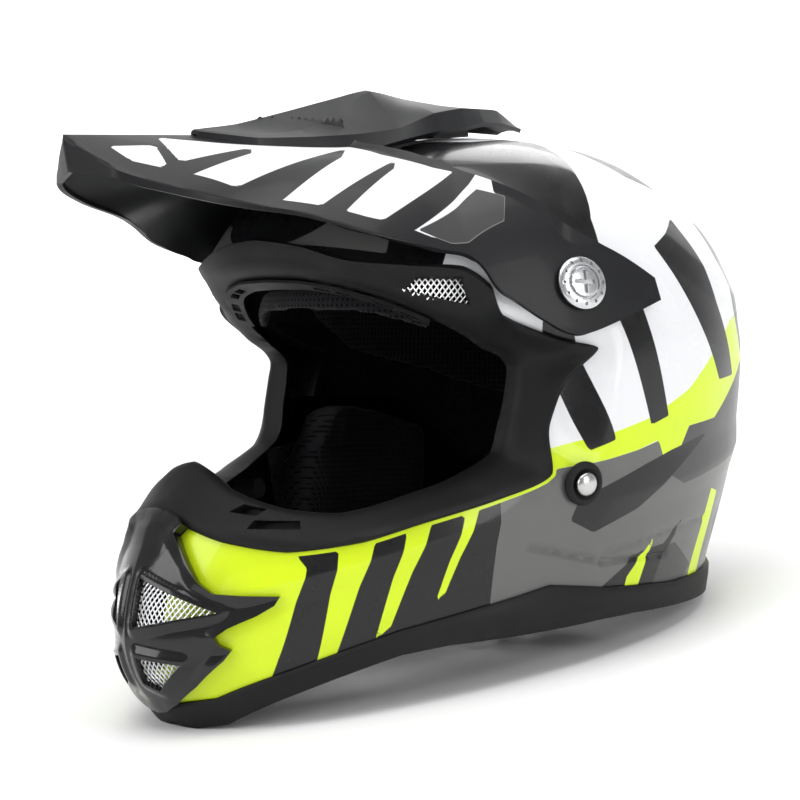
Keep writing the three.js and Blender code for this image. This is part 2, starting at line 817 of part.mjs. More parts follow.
function peakPoint( u, v ) {

	const last = PEAK_REAR.length - 1;
	const k = Math.abs( 2 * u - 1 ) * last;
	const i = Math.min( Math.floor( k ), last - 1 );
	const f = k - i;
	const corner = ( points, n ) => new THREE.Vector3( ...points[ n ] );
	const edge = ( points ) => corner( points, i ).lerp( corner( points, i + 1 ), f );
	const rear = edge( PEAK_REAR );
	const front = edge( PEAK_FRONT );
	const rimStart = 0.86;
	const top = rear.clone().lerp( front, Math.min( v / rimStart, 1 ) );
	// the roof swells slightly between its edges
	const swell = Math.sin( Math.PI * Math.min( v / rimStart, 1 ) );
	top.z += 2.5 * swell * Math.min( k, 1 ) * Math.max( 1 - k / 8, 0 );
	for ( let pass = 0; pass < 3; pass ++ ) {

		const { distance, direction } = outwards( top );
		const wanted = PEAK_CLEARANCE + PEAK_THICKNESS;
		if ( distance < wanted ) top.addScaledVector( direction, wanted - distance );

	}

	if ( v > rimStart ) {

		const depth = ( v - rimStart ) / ( 1 - rimStart );
		const nose = Math.max( 1 - k, 0 ) * ( NOSE_DEPTH - PEAK_LIP );
		const lip = PEAK_LIP * Math.max( 1 - k / 6, 0 );
		top.z -= depth * ( nose + lip );
		top.y += depth * nose * 0.3;

	}

	top.x *= Math.sign( 2 * u - 1 ) || 1;
	return top;

}

function sheetNormal( place, u, v ) {

	const step = 0.01;
	const clamp = ( value ) => Math.min( Math.max( value, 0 ), 1 );
	const across = place( clamp( u + step ), v ).sub( place( clamp( u - step ), v ) );
	const along = place( u, clamp( v + step ) ).sub( place( u, clamp( v - step ) ) );
	return across.cross( along ).normalize();

}

function sheet( columns, rows, place, thickness ) {

	return plate( columns, rows, ( u, v, side ) => {

		const point = place( u, v );
		return side ? point : point.addScaledVector( sheetNormal( place, u, v ), thickness );

	} );

}

function peak() {

	const body = sheet( 32, 7, peakPoint, PEAK_THICKNESS );
	const hole = rod( SCREW_SHANK_RADIUS + 2, - 4, 20, SCREW_SEAT.place, SCREW_SEAT.axis );
	return cut( body, hole, mirrored( hole ) );

}

// Stations of the raised crest along the peak: y, the ridge's height, then the distance from
// the middle and the height of its upper crease, its lower crease and its lower edge.
const CREST = [
	[ - 160, 265, 2.5, 264.9, 4, 264.6, 5, 264.2 ],
	[ - 137, 267, 11, 262.6, 15, 260.6, 17, 260 ],
	[ - 110, 274.4, 13, 267, 19.5, 264.4, 22, 263.8 ],
	[ - 83, 281.4, 8, 275.8, 23, 266.2, 28.5, 264.2 ],
	[ - 61, 286.8, 3, 286, 25, 268.6, 30, 264 ],
	[ - 40, 284.2, 4, 283.5, 25.5, 275.5, 30, 267.5 ],
	[ - 21, 281.8, 9, 281.3, 23, 279, 27.5, 270.5 ],
	[ - 7, 281, 12, 280.7, 20, 279.8, 24, 273 ],
	[ 10, 281, 9, 280.8, 14, 280.4, 18, 274 ],
	[ 31, 274.6, 3, 274.4, 6, 274, 9, 273 ],
];

function crestPoint( u, v ) {

	const k = v * ( CREST.length - 1 );
	const i = Math.min( Math.floor( k ), CREST.length - 2 );
	const blend = ( value, n ) => value + ( CREST[ i + 1 ][ n ] - value ) * ( k - i );
	const [ y, ridgeZ, ...side ] = CREST[ i ].map( blend );
	const left = [[ side[ 0 ], side[ 1 ]], [ side[ 2 ], side[ 3 ]], [ side[ 4 ], side[ 5 ]]];
	const right = left.map( ( [ x, z ] ) => [ - x, z ] ).reverse();
	const across = [ ...right, [ 0, ridgeZ ], ...left ];
	const w = u * 6;
	const j = Math.min( Math.floor( w ), 5 );
	const [ x, z ] = across[ j ].map( ( value, n ) => value + ( across[ j + 1 ][ n ] - value ) * ( w - j ) );
	return new THREE.Vector3( x, y, z );

}

function crest() {

	const thickness = 2;
	return plate( 6, CREST.length - 1, ( u, v, side ) => {

		const point = crestPoint( u, v );
		if ( side === 0 ) {

			point.z -= thickness;
			point.x *= 0.93;

		}

		return point;

	} );

}

// The black foot under the crest, standing on the crown.
function centreBracket() {

	const length = 26;
	return plate( 4, 4, ( u, v, side ) => {

		const x = ( u - 0.5 ) * ( 26 - 8 * v );
		const y = - 30 + v * length;
		const fall = ( ( y - CROWN_POINT.y ) ** 2 / 300 + x * x / 290 ) / 2;
		return new THREE.Vector3( x, y, side ? 270 : CROWN_POINT.z + 0.5 - fall );

	} );

}

// ---- fasteners ----

function sideScrew() {

	const low = PEAK_CLEARANCE + PEAK_THICKNESS + 1.2;
	return turned( [
		[ 0, - 7 ], [ SCREW_SHANK_RADIUS, - 7 ], [ SCREW_SHANK_RADIUS, low ], [ SCREW_HEAD_RADIUS, low ],
		[ SCREW_HEAD_RADIUS, low + 1.6 ], [ SCREW_HEAD_RADIUS - 1, low + 2.6 ],
		[ 7, low + 3 ], [ 6, low + 2.2 ], [ 0, low + 2.2 ],
	], 20, SCREW_SEAT.place, SCREW_SEAT.axis );

}

function screwInsert() {

	// flanged threaded insert behind the shell
	const bore = SCREW_SHANK_RADIUS + 0.3;
	const face = - SHELL_THICKNESS - 1.6;
	return turned( [
		[ bore, - 11 ], [ 5, - 11 ], [ 5, - 7.2 ], [ 8, - 7.2 ], [ 8, face ], [ bore, face ], [ bore, - 11 ],
	], 14, SCREW_SEAT.place, SCREW_SEAT.axis );

}

function rivetWasher() {

	return turned( [
		[ 4.1, 1.2 ], [ WASHER_RADIUS, 1.2 ], [ WASHER_RADIUS, 2.6 ], [ WASHER_RADIUS - 1.4, 3.6 ],
		[ 7, 3.6 ], [ 4.1, 2.4 ], [ 4.1, 1.2 ],
	], 18, RIVET_SEAT.place, RIVET_SEAT.axis );

}

function strapRivet() {

	return turned( [
		[ 0, - 14 ], [ SCREW_SHANK_RADIUS, - 14 ], [ SCREW_SHANK_RADIUS, 3.9 ], [ RIVET_HEAD_RADIUS, 3.9 ],
		[ RIVET_HEAD_RADIUS - 0.6, 5.4 ], [ 3, 6.5 ], [ 0, 6.8 ],
	], 14, RIVET_SEAT.place, RIVET_SEAT.axis );

}

// ---- chin strap ----

// Half of the sling in the plane through both rivets, from above the left rivet to the middle,
// as [x, z]. It passes between the shell and the cheek pad and hangs under the chin.
const SLING = [
	[ 103, 114 ], [ 103, 105 ], [ 101, 85 ], [ 96, 66 ], [ 91, 55 ],
	[ 82, 47 ], [ 66, 43 ], [ 46, 41.5 ], [ 20, 41 ], [ 0, 41 ],
];
const SLING_BOTTOM = SLING[ SLING.length - 1 ][ 1 ];
const STRAP_Y = RIVET_SEAT.place.y;
const RINGS_X = 42;                // the straight bars of the two D rings

function slingPoint( x, z ) {

	return new THREE.Vector3( x, STRAP_Y, z );

}

function rivetPassage( side ) {

	const hole = rod( SCREW_SHANK_RADIUS + 1.4, - 24, 4, RIVET_SEAT.place, RIVET_SEAT.axis );
	return side > 0 ? hole : mirrored( hole );

}

// A strap swept along the sling, wide along Y.
function strap( points, side ) {

	const curve = new THREE.CatmullRomCurve3( points );
	const wide = new THREE.Vector3( 0, 1, 0 );
	const body = plate( 26, 1, ( u, v, face ) => {

		const out = curve.getTangentAt( u ).cross( wide ).normalize();
		return curve.getPointAt( u ).addScaledVector( wide, ( v - 0.5 ) * STRAP_WIDTH )
			.addScaledVector( out, ( face - 0.5 ) * STRAP_THICKNESS );

	} );
	return cut( body, rivetPassage( side ) );

}

function shortStrap() {

	const points = SLING.filter( ( [ x ] ) => x > RINGS_X + 3 ).map( ( [ x, z ] ) => slingPoint( x, z ) );
	return strap( points, 1 );

}

function longStrap() {

	const points = SLING.map( ( [ x, z ] ) => slingPoint( - x, z ) );
	points.push( slingPoint( 22, SLING_BOTTOM ) );
	return strap( points, - 1 );

}

// The steel tab that the rivet holds, sewn against the strap's end.
function anchorPlate() {

	const face = SLING[ 1 ][ 0 ] + STRAP_THICKNESS / 2 + 0.6;
	const body = plate( 1, 1, ( u, v, side ) => new THREE.Vector3(
		face + side * 1.2, STRAP_Y + ( u - 0.5 ) * ( STRAP_WIDTH - 6 ), RIVET_PLACE.z - 10 + v * 15 ) );
	return cut( body, rivetPassage( 1 ) );

}

// A flat D of steel wire. Its straight bar lies at x = 0 along Y and its bow reaches to -X.
function dRing( height ) {

	const half = STRAP_WIDTH / 2 + 2;
	const wire = 1.5;
	const corners = [[ 0, - half ], [ 0, half ], [ - 10, half - 2 ], [ - 16, 0 ], [ - 10, 2 - half ]];
	const centre = new THREE.Vector3( - 7, 0, 0 );
	const body = ring( 20, ( u ) => {

		const k = Math.min( Math.floor( u * 5 ), 4 );
		const to = new THREE.Vector3( ...corners[ ( k + 1 ) % 5 ], 0 );
		const middle = new THREE.Vector3( ...corners[ k ], 0 ).lerp( to, u * 5 - k );
		const out = middle.clone().sub( centre ).normalize();
		return [ 0, 1, 2, 3, 4, 5 ].map( ( n ) => {

			const turn = n * Math.PI / 3;
			const point = middle.clone().addScaledVector( out, wire * Math.cos( turn ) );
			point.z += wire * Math.sin( turn );
			return point;

		} );

	} );
	return body.translate( RINGS_X, STRAP_Y, SLING_BOTTOM + height );

}

function strapSnap() {

	const down = new THREE.Vector3( 0, 0, - 1 );
	const start = STRAP_THICKNESS / 2 + 0.4;
	const outline = [[ 0, start ], [ 6.5, start ], [ 6.5, start + 1.4 ], [ 5, start + 2.6 ], [ 0, start + 2.6 ]];
	return turned( outline, 18, slingPoint( - 30, SLING_BOTTOM ), down );

}

// ---- materials ----

function finish( color, roughness, metalness = 0 ) {

	return new THREE.MeshStandardMaterial( { color, roughness, metalness } );

}

const MATERIALS = {
	shell: finish( 0xe9ebee, 0.25 ),
	foam: finish( 0x2b2c2e, 0.9 ),
	rubber: finish( 0x17181a, 0.7 ),
	gloss: finish( 0x0c0c0e, 0.15 ),
	peak: finish( 0x24262a, 0.45 ),
	mesh: finish( 0xb9bcc0, 0.4, 0.9 ),
	fabric: finish( 0x131416, 0.95 ),
	aluminium: finish( 0xd4d6d9, 0.3, 1 ),
	steel: finish( 0x9b9da0, 0.3, 1 ),
	webbing: finish( 0x1a1a1c, 0.9 ),
};

// ---- assembly ----

const wearing = new THREE.Group();

// The strap hangs from the rivets, straight down when the helmet stands.
const hanging = new THREE.Group();
hanging.position.set( 0, RIVET_SEAT.place.y, RIVET_PLACE.z );
hanging.rotation.x = REST_PITCH;
wearing.add( hanging );

function add( name, geometry, material ) {

	const mesh = new THREE.Mesh( geometry, material );
	mesh.name = name;
	wearing.add( mesh );

}

function hang( name, geometry, material ) {

	const mesh = new THREE.Mesh( geometry, material );
	mesh.name = name;
	mesh.position.copy( hanging.position ).negate();
	hanging.add( mesh );

}

function addPair( name, geometry, material ) {

	add( `${ name }_left`, geometry, material );
	add( `${ name }_right`, mirrored( geometry ), material );

}

add( 'outer_shell', outerShell(), MATERIALS.shell );
add( 'eps_liner', epsLiner(), MATERIALS.foam );
addPair( 'chin_liner', chinLiner(), MATERIALS.foam );
add( 'eyeport_trim', eyeportTrim(), MATERIALS.rubber );
add( 'neck_trim', neckTrim(), MATERIALS.rubber );
add( 'mouth_vent_cover', mouthVentCover(), MATERIALS.gloss );
addPair( 'mouth_mesh_upper', meshPanel( UPPER_WINDOW, 1, 1.8 ), MATERIALS.mesh );
addPair( 'mouth_mesh_lower', meshPanel( LOWER_WINDOW, 1, 1.8 ), MATERIALS.mesh );
add( 'mouth_filter', mouthFilter(), MATERIALS.foam );
addPair( 'brow_vent_mesh', browMesh(), MATERIALS.mesh );
add( 'brow_duct_strip', browDuctStrip(), MATERIALS.rubber );

add( 'crown_pad', crownPad(), MATERIALS.fabric );
add( 'brow_pad', browPad(), MATERIALS.fabric );
addPair( 'cheek_pad', cheekPad(), MATERIALS.fabric );
addPair( 'cheek_snap_front', cheekSnap( 69 ), MATERIALS.rubber );
addPair( 'cheek_snap_rear', cheekSnap( 104 ), MATERIALS.rubber );
add( 'chin_pad', chinPad(), MATERIALS.fabric );
add( 'neck_roll', neckRoll(), MATERIALS.fabric );

add( 'peak', peak(), MATERIALS.peak );
add( 'peak_crest', crest(), MATERIALS.peak );
add( 'peak_centre_bracket', centreBracket(), MATERIALS.rubber );
addPair( 'peak_screw', sideScrew(), MATERIALS.aluminium );
addPair( 'screw_insert', screwInsert(), MATERIALS.steel );

addPair( 'rivet_washer', rivetWasher(), MATERIALS.rubber );
addPair( 'strap_rivet', strapRivet(), MATERIALS.steel );
hang( 'strap_anchor_left', anchorPlate(), MATERIALS.steel );
hang( 'strap_anchor_right', mirrored( anchorPlate() ), MATERIALS.steel );
hang( 'chin_strap_short', shortStrap(), MATERIALS.webbing );
hang( 'chin_strap_long', longStrap(), MATERIALS.webbing );
hang( 'd_ring_upper', dRing( 2 ), MATERIALS.steel );
hang( 'd_ring_lower', dRing( - 2 ), MATERIALS.steel );
hang( 'strap_snap', strapSnap(), MATERIALS.steel );

// Stand the helmet up, with the origin under the middle of its box.
const standing = new THREE.Group();
standing.add( wearing );
standing.rotation.x = - REST_PITCH;
standing.updateMatrixWorld( true );
const box = new THREE.Box3().setFromObject( standing, true );
standing.position.set( 0, - ( box.min.y + box.max.y ) / 2, - REST_LEVEL );

export default standing;
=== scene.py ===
"""Looks of the motocross helmet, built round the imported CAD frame.

Shapes are laid out in millimetres in the wearing attitude and then turned into the standing
attitude of the CAD model, in metres. The wearer's left side is +X and the face looks to -Y.
"""

import math

import bpy
import numpy as np
from mathutils import Matrix, Vector


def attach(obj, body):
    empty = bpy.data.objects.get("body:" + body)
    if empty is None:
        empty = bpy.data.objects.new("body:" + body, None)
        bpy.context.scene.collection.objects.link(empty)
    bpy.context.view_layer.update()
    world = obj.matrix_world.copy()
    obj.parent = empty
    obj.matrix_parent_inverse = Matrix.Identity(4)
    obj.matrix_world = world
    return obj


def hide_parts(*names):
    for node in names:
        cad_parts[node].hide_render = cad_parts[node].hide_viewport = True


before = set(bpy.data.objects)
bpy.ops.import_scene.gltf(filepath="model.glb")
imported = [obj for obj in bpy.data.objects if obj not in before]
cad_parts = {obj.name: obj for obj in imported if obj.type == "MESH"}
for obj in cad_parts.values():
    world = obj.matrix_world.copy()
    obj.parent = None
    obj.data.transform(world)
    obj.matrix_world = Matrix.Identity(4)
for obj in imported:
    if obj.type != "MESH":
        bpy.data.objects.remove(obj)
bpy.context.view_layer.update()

# ---------------------------------------------------------------- frames

PITCH = math.radians(9.6)
SHIFT = np.array([0, 8.4471, -25.0])
TURN = np.array([
    [1, 0, 0],
    [0, math.cos(PITCH), math.sin(PITCH)],
    [0, -math.sin(PITCH), math.cos(PITCH)],
])


def standing(points):
    """Wearing attitude in millimetres to the standing CAD frame in metres."""
    return (np.asarray(points, float) @ TURN.T + SHIFT) / 1000


# ---------------------------------------------------------------- the shell skin

# z, front y, rear y, half width, y of the widest place, bluntness in front and behind
SLICES = np.array([
    [-6, -166, 122, 98, -12, 1.75, 2.2],
    [12, -181, 122, 101, -12, 1.75, 2.2],
    [33, -189, 123, 104, -12, 1.75, 2.2],
    [60, -186, 126, 108, -10, 1.8, 2.2],
    [85, -179, 133, 113, -8, 1.85, 2.2],
    [110, -164, 141, 117, -4, 1.9, 2.15],
    [140, -148, 146, 120, 0, 2, 2.1],
    [170, -139, 146, 120, 4, 2.05, 2.1],
    [200, -131, 138, 114, 6, 2.1, 2.1],
    [222, -119, 125, 103, 6, 2.1, 2.1],
    [240, -101, 107, 87, 6, 2.05, 2.05],
    [254, -75, 83, 66, 6, 2, 2],
    [263, -42, 51, 40, 6, 2, 2],
    [267, 6, 6, 0, 6, 2, 2],
])
CROWN = len(SLICES) - 1
ARC = 1.9  # millimetres of skin to one degree round the shell
UNROLL = np.array([ARC, 1])  # turns (phi, z) into millimetres on the unrolled skin


def catmull_rom(a, b, c, d, f):
    """The curve's point at share f of the way from b to c, with a before and d after them."""
    return 0.5 * (2 * b + (c - a) * f + (2 * a - 5 * b + 4 * c - d) * f**2 + (3 * b - a - 3 * c + d) * f**3)


def slice_values(t):
    """The slice's seven numbers at position t, on a Catmull-Rom curve through the rows."""
    below = 2 * SLICES[0] - SLICES[1]
    above = SLICES[-2].copy()
    above[1:4] = 2 * SLICES[-1, 1:4] - SLICES[-2, 1:4]
    rows = np.vstack([below, SLICES, above])
    t = np.clip(np.asarray(t, float), 0, CROWN - 1e-9)
    i = np.floor(t).astype(int)
    return catmull_rom(*(rows[i + n] for n in range(4)), (t - i)[..., None])


T_STEPS = np.linspace(0, CROWN, 4000)
Z_STEPS = slice_values(T_STEPS)[:, 0]


def slice_of(z):
    """The slice position at level z."""
    return np.interp(z, Z_STEPS, T_STEPS)


def slice_point(phi, t):
    """The skin's point at angle phi on the slice t, before the cheeks are hollowed."""
    z, front, rear, half, mid, blunt_front, blunt_rear = np.moveaxis(slice_values(t), -1, 0)
    s, c = np.sin(np.radians(phi)), np.cos(np.radians(phi))
    power = 2 / np.where(c >= 0, blunt_front, blunt_rear)
    reach = np.where(c >= 0, mid - front, rear - mid)
    x = half * np.sign(s) * np.abs(s) ** power
    y = mid - reach * np.sign(c) * np.abs(c) ** power
    return np.stack(np.broadcast_arrays(x, y, z), -1)


def slice_normal(phi, t):
    across = slice_point(phi + 4, t) - slice_point(phi - 4, t)
    up = slice_point(phi, np.minimum(t + 0.03, CROWN)) - slice_point(phi, np.maximum(t - 0.03, 0))
    normal = np.cross(across, up)
    size = np.linalg.norm(normal, axis=-1, keepdims=True)
    normal = normal / np.maximum(size, 1e-9)
    top = (np.asarray(t) > CROWN - 0.02)[..., None] & np.ones(normal.shape, bool)
    return np.where(top, [0.0, 0.0, 1.0], normal)


TOP_POINT = slice_point(0.0, float(CROWN))


def from_front(phi):
    """Degrees away from the front, 0 to 180 on either side."""
    return np.abs((np.asarray(phi) + 180) % 360 - 180)


# the hollow in each cheek beside the eyeport: its middle, its reach in degrees round the shell
# and in millimetres up and down, and its depth
HOLLOW_PHI, HOLLOW_Z = 65, 146
HOLLOW_REACH, HOLLOW_ABOVE, HOLLOW_BELOW = 21, 38, 42
HOLLOW_DEPTH = 13


def cheek_hollow(phi, z):
    """How deep the skin is hollowed at angle phi and level z."""
    across = (from_front(phi) - HOLLOW_PHI) / HOLLOW_REACH
    up = (z - HOLLOW_Z) / np.where(z > HOLLOW_Z, HOLLOW_ABOVE, HOLLOW_BELOW)
    return HOLLOW_DEPTH * (np.maximum(1 - across**4, 0) * np.maximum(1 - up**4, 0)) ** 2


def skin(phi, z, height=0.0):
    """The point `height` out from the skin at angle phi and level z."""
    phi, z, height = np.broadcast_arrays(*(np.asarray(value, float) for value in (phi, z, height)))
    t = slice_of(z)
    return slice_point(phi, t) + slice_normal(phi, t) * (height - cheek_hollow(phi, z))[..., None]


def side_angle(y, z):
    """The angle round the shell of the left side's point at y and level z."""
    _, front, rear, _, mid, blunt_front, blunt_rear = slice_values(slice_of(z))
    if y < mid:
        return math.degrees(math.acos(min(1, (mid - y) / (mid - front)) ** (blunt_front / 2)))
    return 180 - math.degrees(math.acos(min(1, (y - mid) / (rear - mid)) ** (blunt_rear / 2)))


def outwards(points):
    """How far points lie outside the skin, to first order, and the way out."""
    below_crown = SLICES[-1, 0] - 0.5

    def level(p):
        rows = slice_values(slice_of(np.minimum(p[..., 2], below_crown)))
        _, front, rear, half, mid, blunt_front, blunt_rear = np.moveaxis(rows, -1, 0)
        ahead = p[..., 1] < mid
        blunt = np.where(ahead, blunt_front, blunt_rear)
        reach = np.abs(np.where(ahead, front, rear) - mid)
        x = np.abs(p[..., 0]) / half
        y = np.abs(p[..., 1] - mid) / reach
        return (x**blunt + y**blunt) ** (1 / blunt) - 1

    slope = np.stack([level(points + 0.5 * e) - level(points - 0.5 * e) for e in np.eye(3)], -1)
    steep = np.linalg.norm(slope, axis=-1)
    return level(points) / steep, slope / steep[..., None]


# ---------------------------------------------------------------- lines and areas

def along(line, u):
    """Points at fractions u of the corners of a line, straight between them."""
    line = np.asarray(line, float)
    k = np.clip(np.asarray(u, float), 0, 1) * (len(line) - 1)
    i = np.minimum(np.floor(k).astype(int), len(line) - 2)
    return line[i] + (line[i + 1] - line[i]) * (k - i)[..., None]


def flowing(line, u):
    """As along(), on a Catmull-Rom curve."""
    line = np.asarray(line, float)
    k = np.clip(np.asarray(u, float), 0, 1) * (len(line) - 1)
    i = np.minimum(np.floor(k).astype(int), len(line) - 2)
    padded = np.vstack([2 * line[0] - line[1], line, 2 * line[-1] - line[-2]])
    return catmull_rom(*(padded[i + n] for n in range(4)), (k - i)[..., None])


def divided(starts, ends, parts):
    """Points that divide the way from each start to its end, without the end itself."""
    return np.vstack([a + (b - a) * np.linspace(0, 1, parts + 1)[:-1, None] for a, b in zip(starts, ends)])


def both_sides(line):
    """A half line from the centre outwards, mirrored to the right side."""
    return [(-p, z) for p, z in line[:0:-1]] + list(line)


def flipped(line, flip):
    """The line on the left side for flip 1 and on the right side for -1."""
    return [(flip * p, z) for p, z in line]


def hem_height(hem, phi):
    """The level of a hem of (phi, z) corners at angle phi."""
    return np.interp(from_front(phi), [p for p, _ in hem], [z for _, z in hem])


def line_distance(points, line, closed=False):
    """Distance of flat points to a line of corners."""
    a = np.asarray(line, float)
    b = np.roll(a, -1, axis=0)
    if not closed:
        a, b = a[:-1], b[:-1]
    step = b - a
    offset = points[:, None, :] - a[None]
    share = np.clip((offset * step).sum(-1) / (step**2).sum(-1), 0, 1)
    return np.linalg.norm(offset - share[..., None] * step, axis=-1).min(1)


def inside(points, polygon):
    """Whether flat points lie inside a polygon, by counting crossings."""
    a = np.asarray(polygon, float)
    b = np.roll(a, -1, axis=0)
    x, y = points[:, :1], points[:, 1:]
    spans = (a[:, 1] > y) != (b[:, 1] > y)
    rise = np.where(b[:, 1] == a[:, 1], 1, b[:, 1] - a[:, 1])
    left = x < (b[:, 0] - a[:, 0]) * (y - a[:, 1]) / rise + a[:, 0]
    return (spans & left).sum(1) % 2 == 1


def area_distance(points, polygon):
    """Distance to a polygon's edge, negative inside it."""
    d = line_distance(points, polygon, closed=True)
    return np.where(inside(points, polygon), -d, d)


def nearest_area(points, polygons):
    """Distance to the nearest polygon's edge, negative inside one."""
    far = np.full(len(points), 1e3)
    for polygon in polygons:
        far = np.minimum(far, area_distance(points, polygon))
    return far


# ---------------------------------------------------------------- meshes

def new_piece(name, points, faces, material, smooth=35):
    """A mesh object from points in the standing frame in metres."""
    mesh = bpy.data.meshes.new(name)
    mesh.from_pydata(np.asarray(points, float).tolist(), [], [list(map(int, f)) for f in faces])
    mesh.materials.append(material)
    mesh.validate()
    piece = bpy.data.objects.new(name, mesh)
    bpy.context.scene.collection.objects.link(piece)
    shade(piece, smooth)
    return piece


def shade(piece, angle=35):
    """Smooth shading with the edges above the angle left sharp."""
    mesh = piece.data
    mesh.polygons.foreach_set("use_smooth", [True] * len(mesh.polygons))
    mesh.set_sharp_from_angle(angle=math.radians(angle))
    mesh.update()


def solid(name, points, faces, material, smooth=35, to_frame=standing):
    """A closed piece from points in the wearing attitude, its faces turned to point outwards."""
    points = np.asarray(points, float)
    fans = np.array([points[[f[0], f[i], f[i + 1]]] for f in faces for i in range(1, len(f) - 1)])
    volume = np.einsum("ij,ij->i", fans[:, 0], np.cross(fans[:, 1], fans[:, 2])).sum()
    if volume < 0:
        faces = [f[::-1] for f in faces]
    return new_piece(name, to_frame(points), faces, material, smooth)


def ring_edges(start, count):
    """The edges of a ring of points numbered from start."""
    return [(start + i, start + (i + 1) % count) for i in range(count)]


def bands(rings, count, closed=False, start=0):
    """Quads from each ring of `count` points to the next; closed joins the last to the first."""
    faces = []
    for ring in range(rings if closed else rings - 1):
        here, ahead = start + ring * count, start + (ring + 1) % rings * count
        for i in range(count):
            k = (i + 1) % count
            faces.append([here + i, ahead + i, ahead + k, here + k])
    return faces


def thickened(faces, count, rim):
    """A sheet's faces, the same `count` points further on and turned over, and its rim's faces."""
    both = faces + [[n + count for n in f[::-1]] for f in faces]
    return both + [[b, a, a + count, b + count] for a, b in rim]


def dome(hem, columns, rings):
    """Angles, slice positions and faces of a grid on the skin from the crown down to a hem."""
    phi = np.linspace(0, 360, columns, endpoint=False)
    share = np.linspace(0, 1, rings + 1)[1:]
    t = CROWN + (slice_of(hem_height(hem, phi))[None, :] - CROWN) * share[:, None]
    faces = [[0, a, b] for a, b in ring_edges(1, columns)] + bands(rings, columns, start=1)
    return np.broadcast_to(phi, t.shape).ravel(), t.ravel(), faces


def plate(name, place, columns, rows, material, smooth=35):
    """A closed plate: place(u, v, side) gives wearing-attitude points for arrays u and v."""
    u, v = np.meshgrid(np.linspace(0, 1, columns + 1), np.linspace(0, 1, rows + 1), indexing="ij")
    points = np.vstack([place(u.ravel(), v.ravel(), side) for side in (0, 1)])
    number = np.arange(u.size).reshape(u.shape)
    first, step = number[:-1, :-1].ravel().tolist(), rows + 1
    faces = [[n, n + step, n + step + 1, n + 1] for n in first]
    rim = [*number[:-1, 0], *number[-1, :-1], *number[:0:-1, -1], *number[0, :0:-1]]
    return solid(name, points, thickened(faces, u.size, zip(rim, rim[1:] + rim[:1])), material, smooth)


def loop(name, sections, material, smooth, to_frame=standing):
    """A closed ring from an array of closed sections, stations by points by 3."""
    stations, count, _ = sections.shape
    return solid(name, sections.reshape(-1, 3), bands(stations, count, True), material, smooth, to_frame)


def radial(name, outline, centre, rings, place, material):
    """A closed body over a star-shaped outline of (phi, z): place(phi, z, side) gives points."""
    outline = np.asarray(outline, float)
    count = len(outline)
    share = np.linspace(0, 1, rings + 1)[1:]
    spread = centre + (outline[None] - centre) * share[:, None, None]
    flat = np.vstack([[centre], spread.reshape(-1, 2)])
    faces = [[0, a, b] for a, b in ring_edges(1, count)] + bands(rings, count, start=1)
    faces = thickened(faces, len(flat), ring_edges(1 + (rings - 1) * count, count))
    points = np.vstack([place(flat[:, 0], flat[:, 1], side) for side in (0, 1)])
    return solid(name, points, faces, material)


def square_to(axis):
    """Two directions square to the axis and to each other."""
    side = np.cross(axis, [0, 0, 1.0])
    side /= np.linalg.norm(side)
    return side, np.cross(axis, side)


def turned(name, outline, seat, axis, material, segments):
    """A turned body: outline of (radius, height) about the axis at seat, in millimetres."""
    side, other = square_to(axis)
    angles = np.linspace(0, 2 * math.pi, segments, endpoint=False)
    around = np.cos(angles)[:, None] * side + np.sin(angles)[:, None] * other
    sections = np.stack([seat + axis * h + around * max(r, 1e-3) for r, h in outline], 1)
    return loop(name, sections, material, 30)


def applied(piece):
    """Bakes the piece's modifiers into its mesh."""
    bpy.context.view_layer.update()
    shown = piece.evaluated_get(bpy.context.evaluated_depsgraph_get())
    mesh = bpy.data.meshes.new_from_object(shown)
    piece.modifiers.clear()
    piece.data = mesh
    return piece


def carve(piece, *cutters):
    """Cuts the cutters' bodies out of the piece and removes them."""
    for cutter in cutters:
        cut = piece.modifiers.new("cut", "BOOLEAN")
        cut.operation = "DIFFERENCE"
        cut.solver = "MANIFOLD"
        cut.object = cutter
    applied(piece)
    for cutter in cutters:
        bpy.data.objects.remove(cutter)
    shade(piece)
    return piece


def bevel(piece, width, segments, angle):
    """Rounds the edges sharper than the angle. Width in millimetres."""
    edge = piece.modifiers.new("edge", "BEVEL")
    edge.width = width / 1000
    edge.segments = segments
    edge.limit_method = "ANGLE"
    edge.angle_limit = math.radians(angle)
    edge.use_clamp_overlap = True
    applied(piece)
    shade(piece, 50)
    return piece


def mark(piece, name, values):
    """Stores one number or vector a vertex, for the materials."""
    values = np.asarray(values, np.float32)
    kind = "FLOAT" if values.ndim == 1 else "FLOAT_VECTOR"
    layer = piece.data.attributes.new(name, kind, "POINT")
    layer.data.foreach_set("value" if kind == "FLOAT" else "vector", values.ravel())


def points_of(piece):
    """The piece's vertices in the wearing attitude, in millimetres."""
    co = np.zeros(len(piece.data.vertices) * 3)
    piece.data.vertices.foreach_get("co", co)
    return (co.reshape(-1, 3) * 1000 - SHIFT) @ TURN


def mark_weave(piece):
    """Cloth coordinates: round the helmet on a wall of 100 mm radius, up it and away from its middle."""
    p = points_of(piece)
    turn = np.arctan2(p[:, 0], -p[:, 1])
    mark(piece, "weave", np.column_stack([turn * 100, p[:, 2], np.hypot(p[:, 0], p[:, 1])]))


def own(piece, body, slot_name, *nodes):
    """The piece rides on a body and stands for CAD nodes, which are hidden. The slot name is not used."""
    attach(piece, body)
    if nodes:
        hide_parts(*nodes)
    return piece


# ---------------------------------------------------------------- materials

def add(tree, kind, inputs=None, **settings):
    """A node; inputs map socket names or numbers to values or to other nodes' sockets."""
    made = tree.nodes.new(kind)
    for key, value in settings.items():
        setattr(made, key, value)
    for key, value in (inputs or {}).items():
        if isinstance(value, bpy.types.NodeSocket):
            tree.links.new(value, made.inputs[key])
        else:
            made.inputs[key].default_value = value
    return made


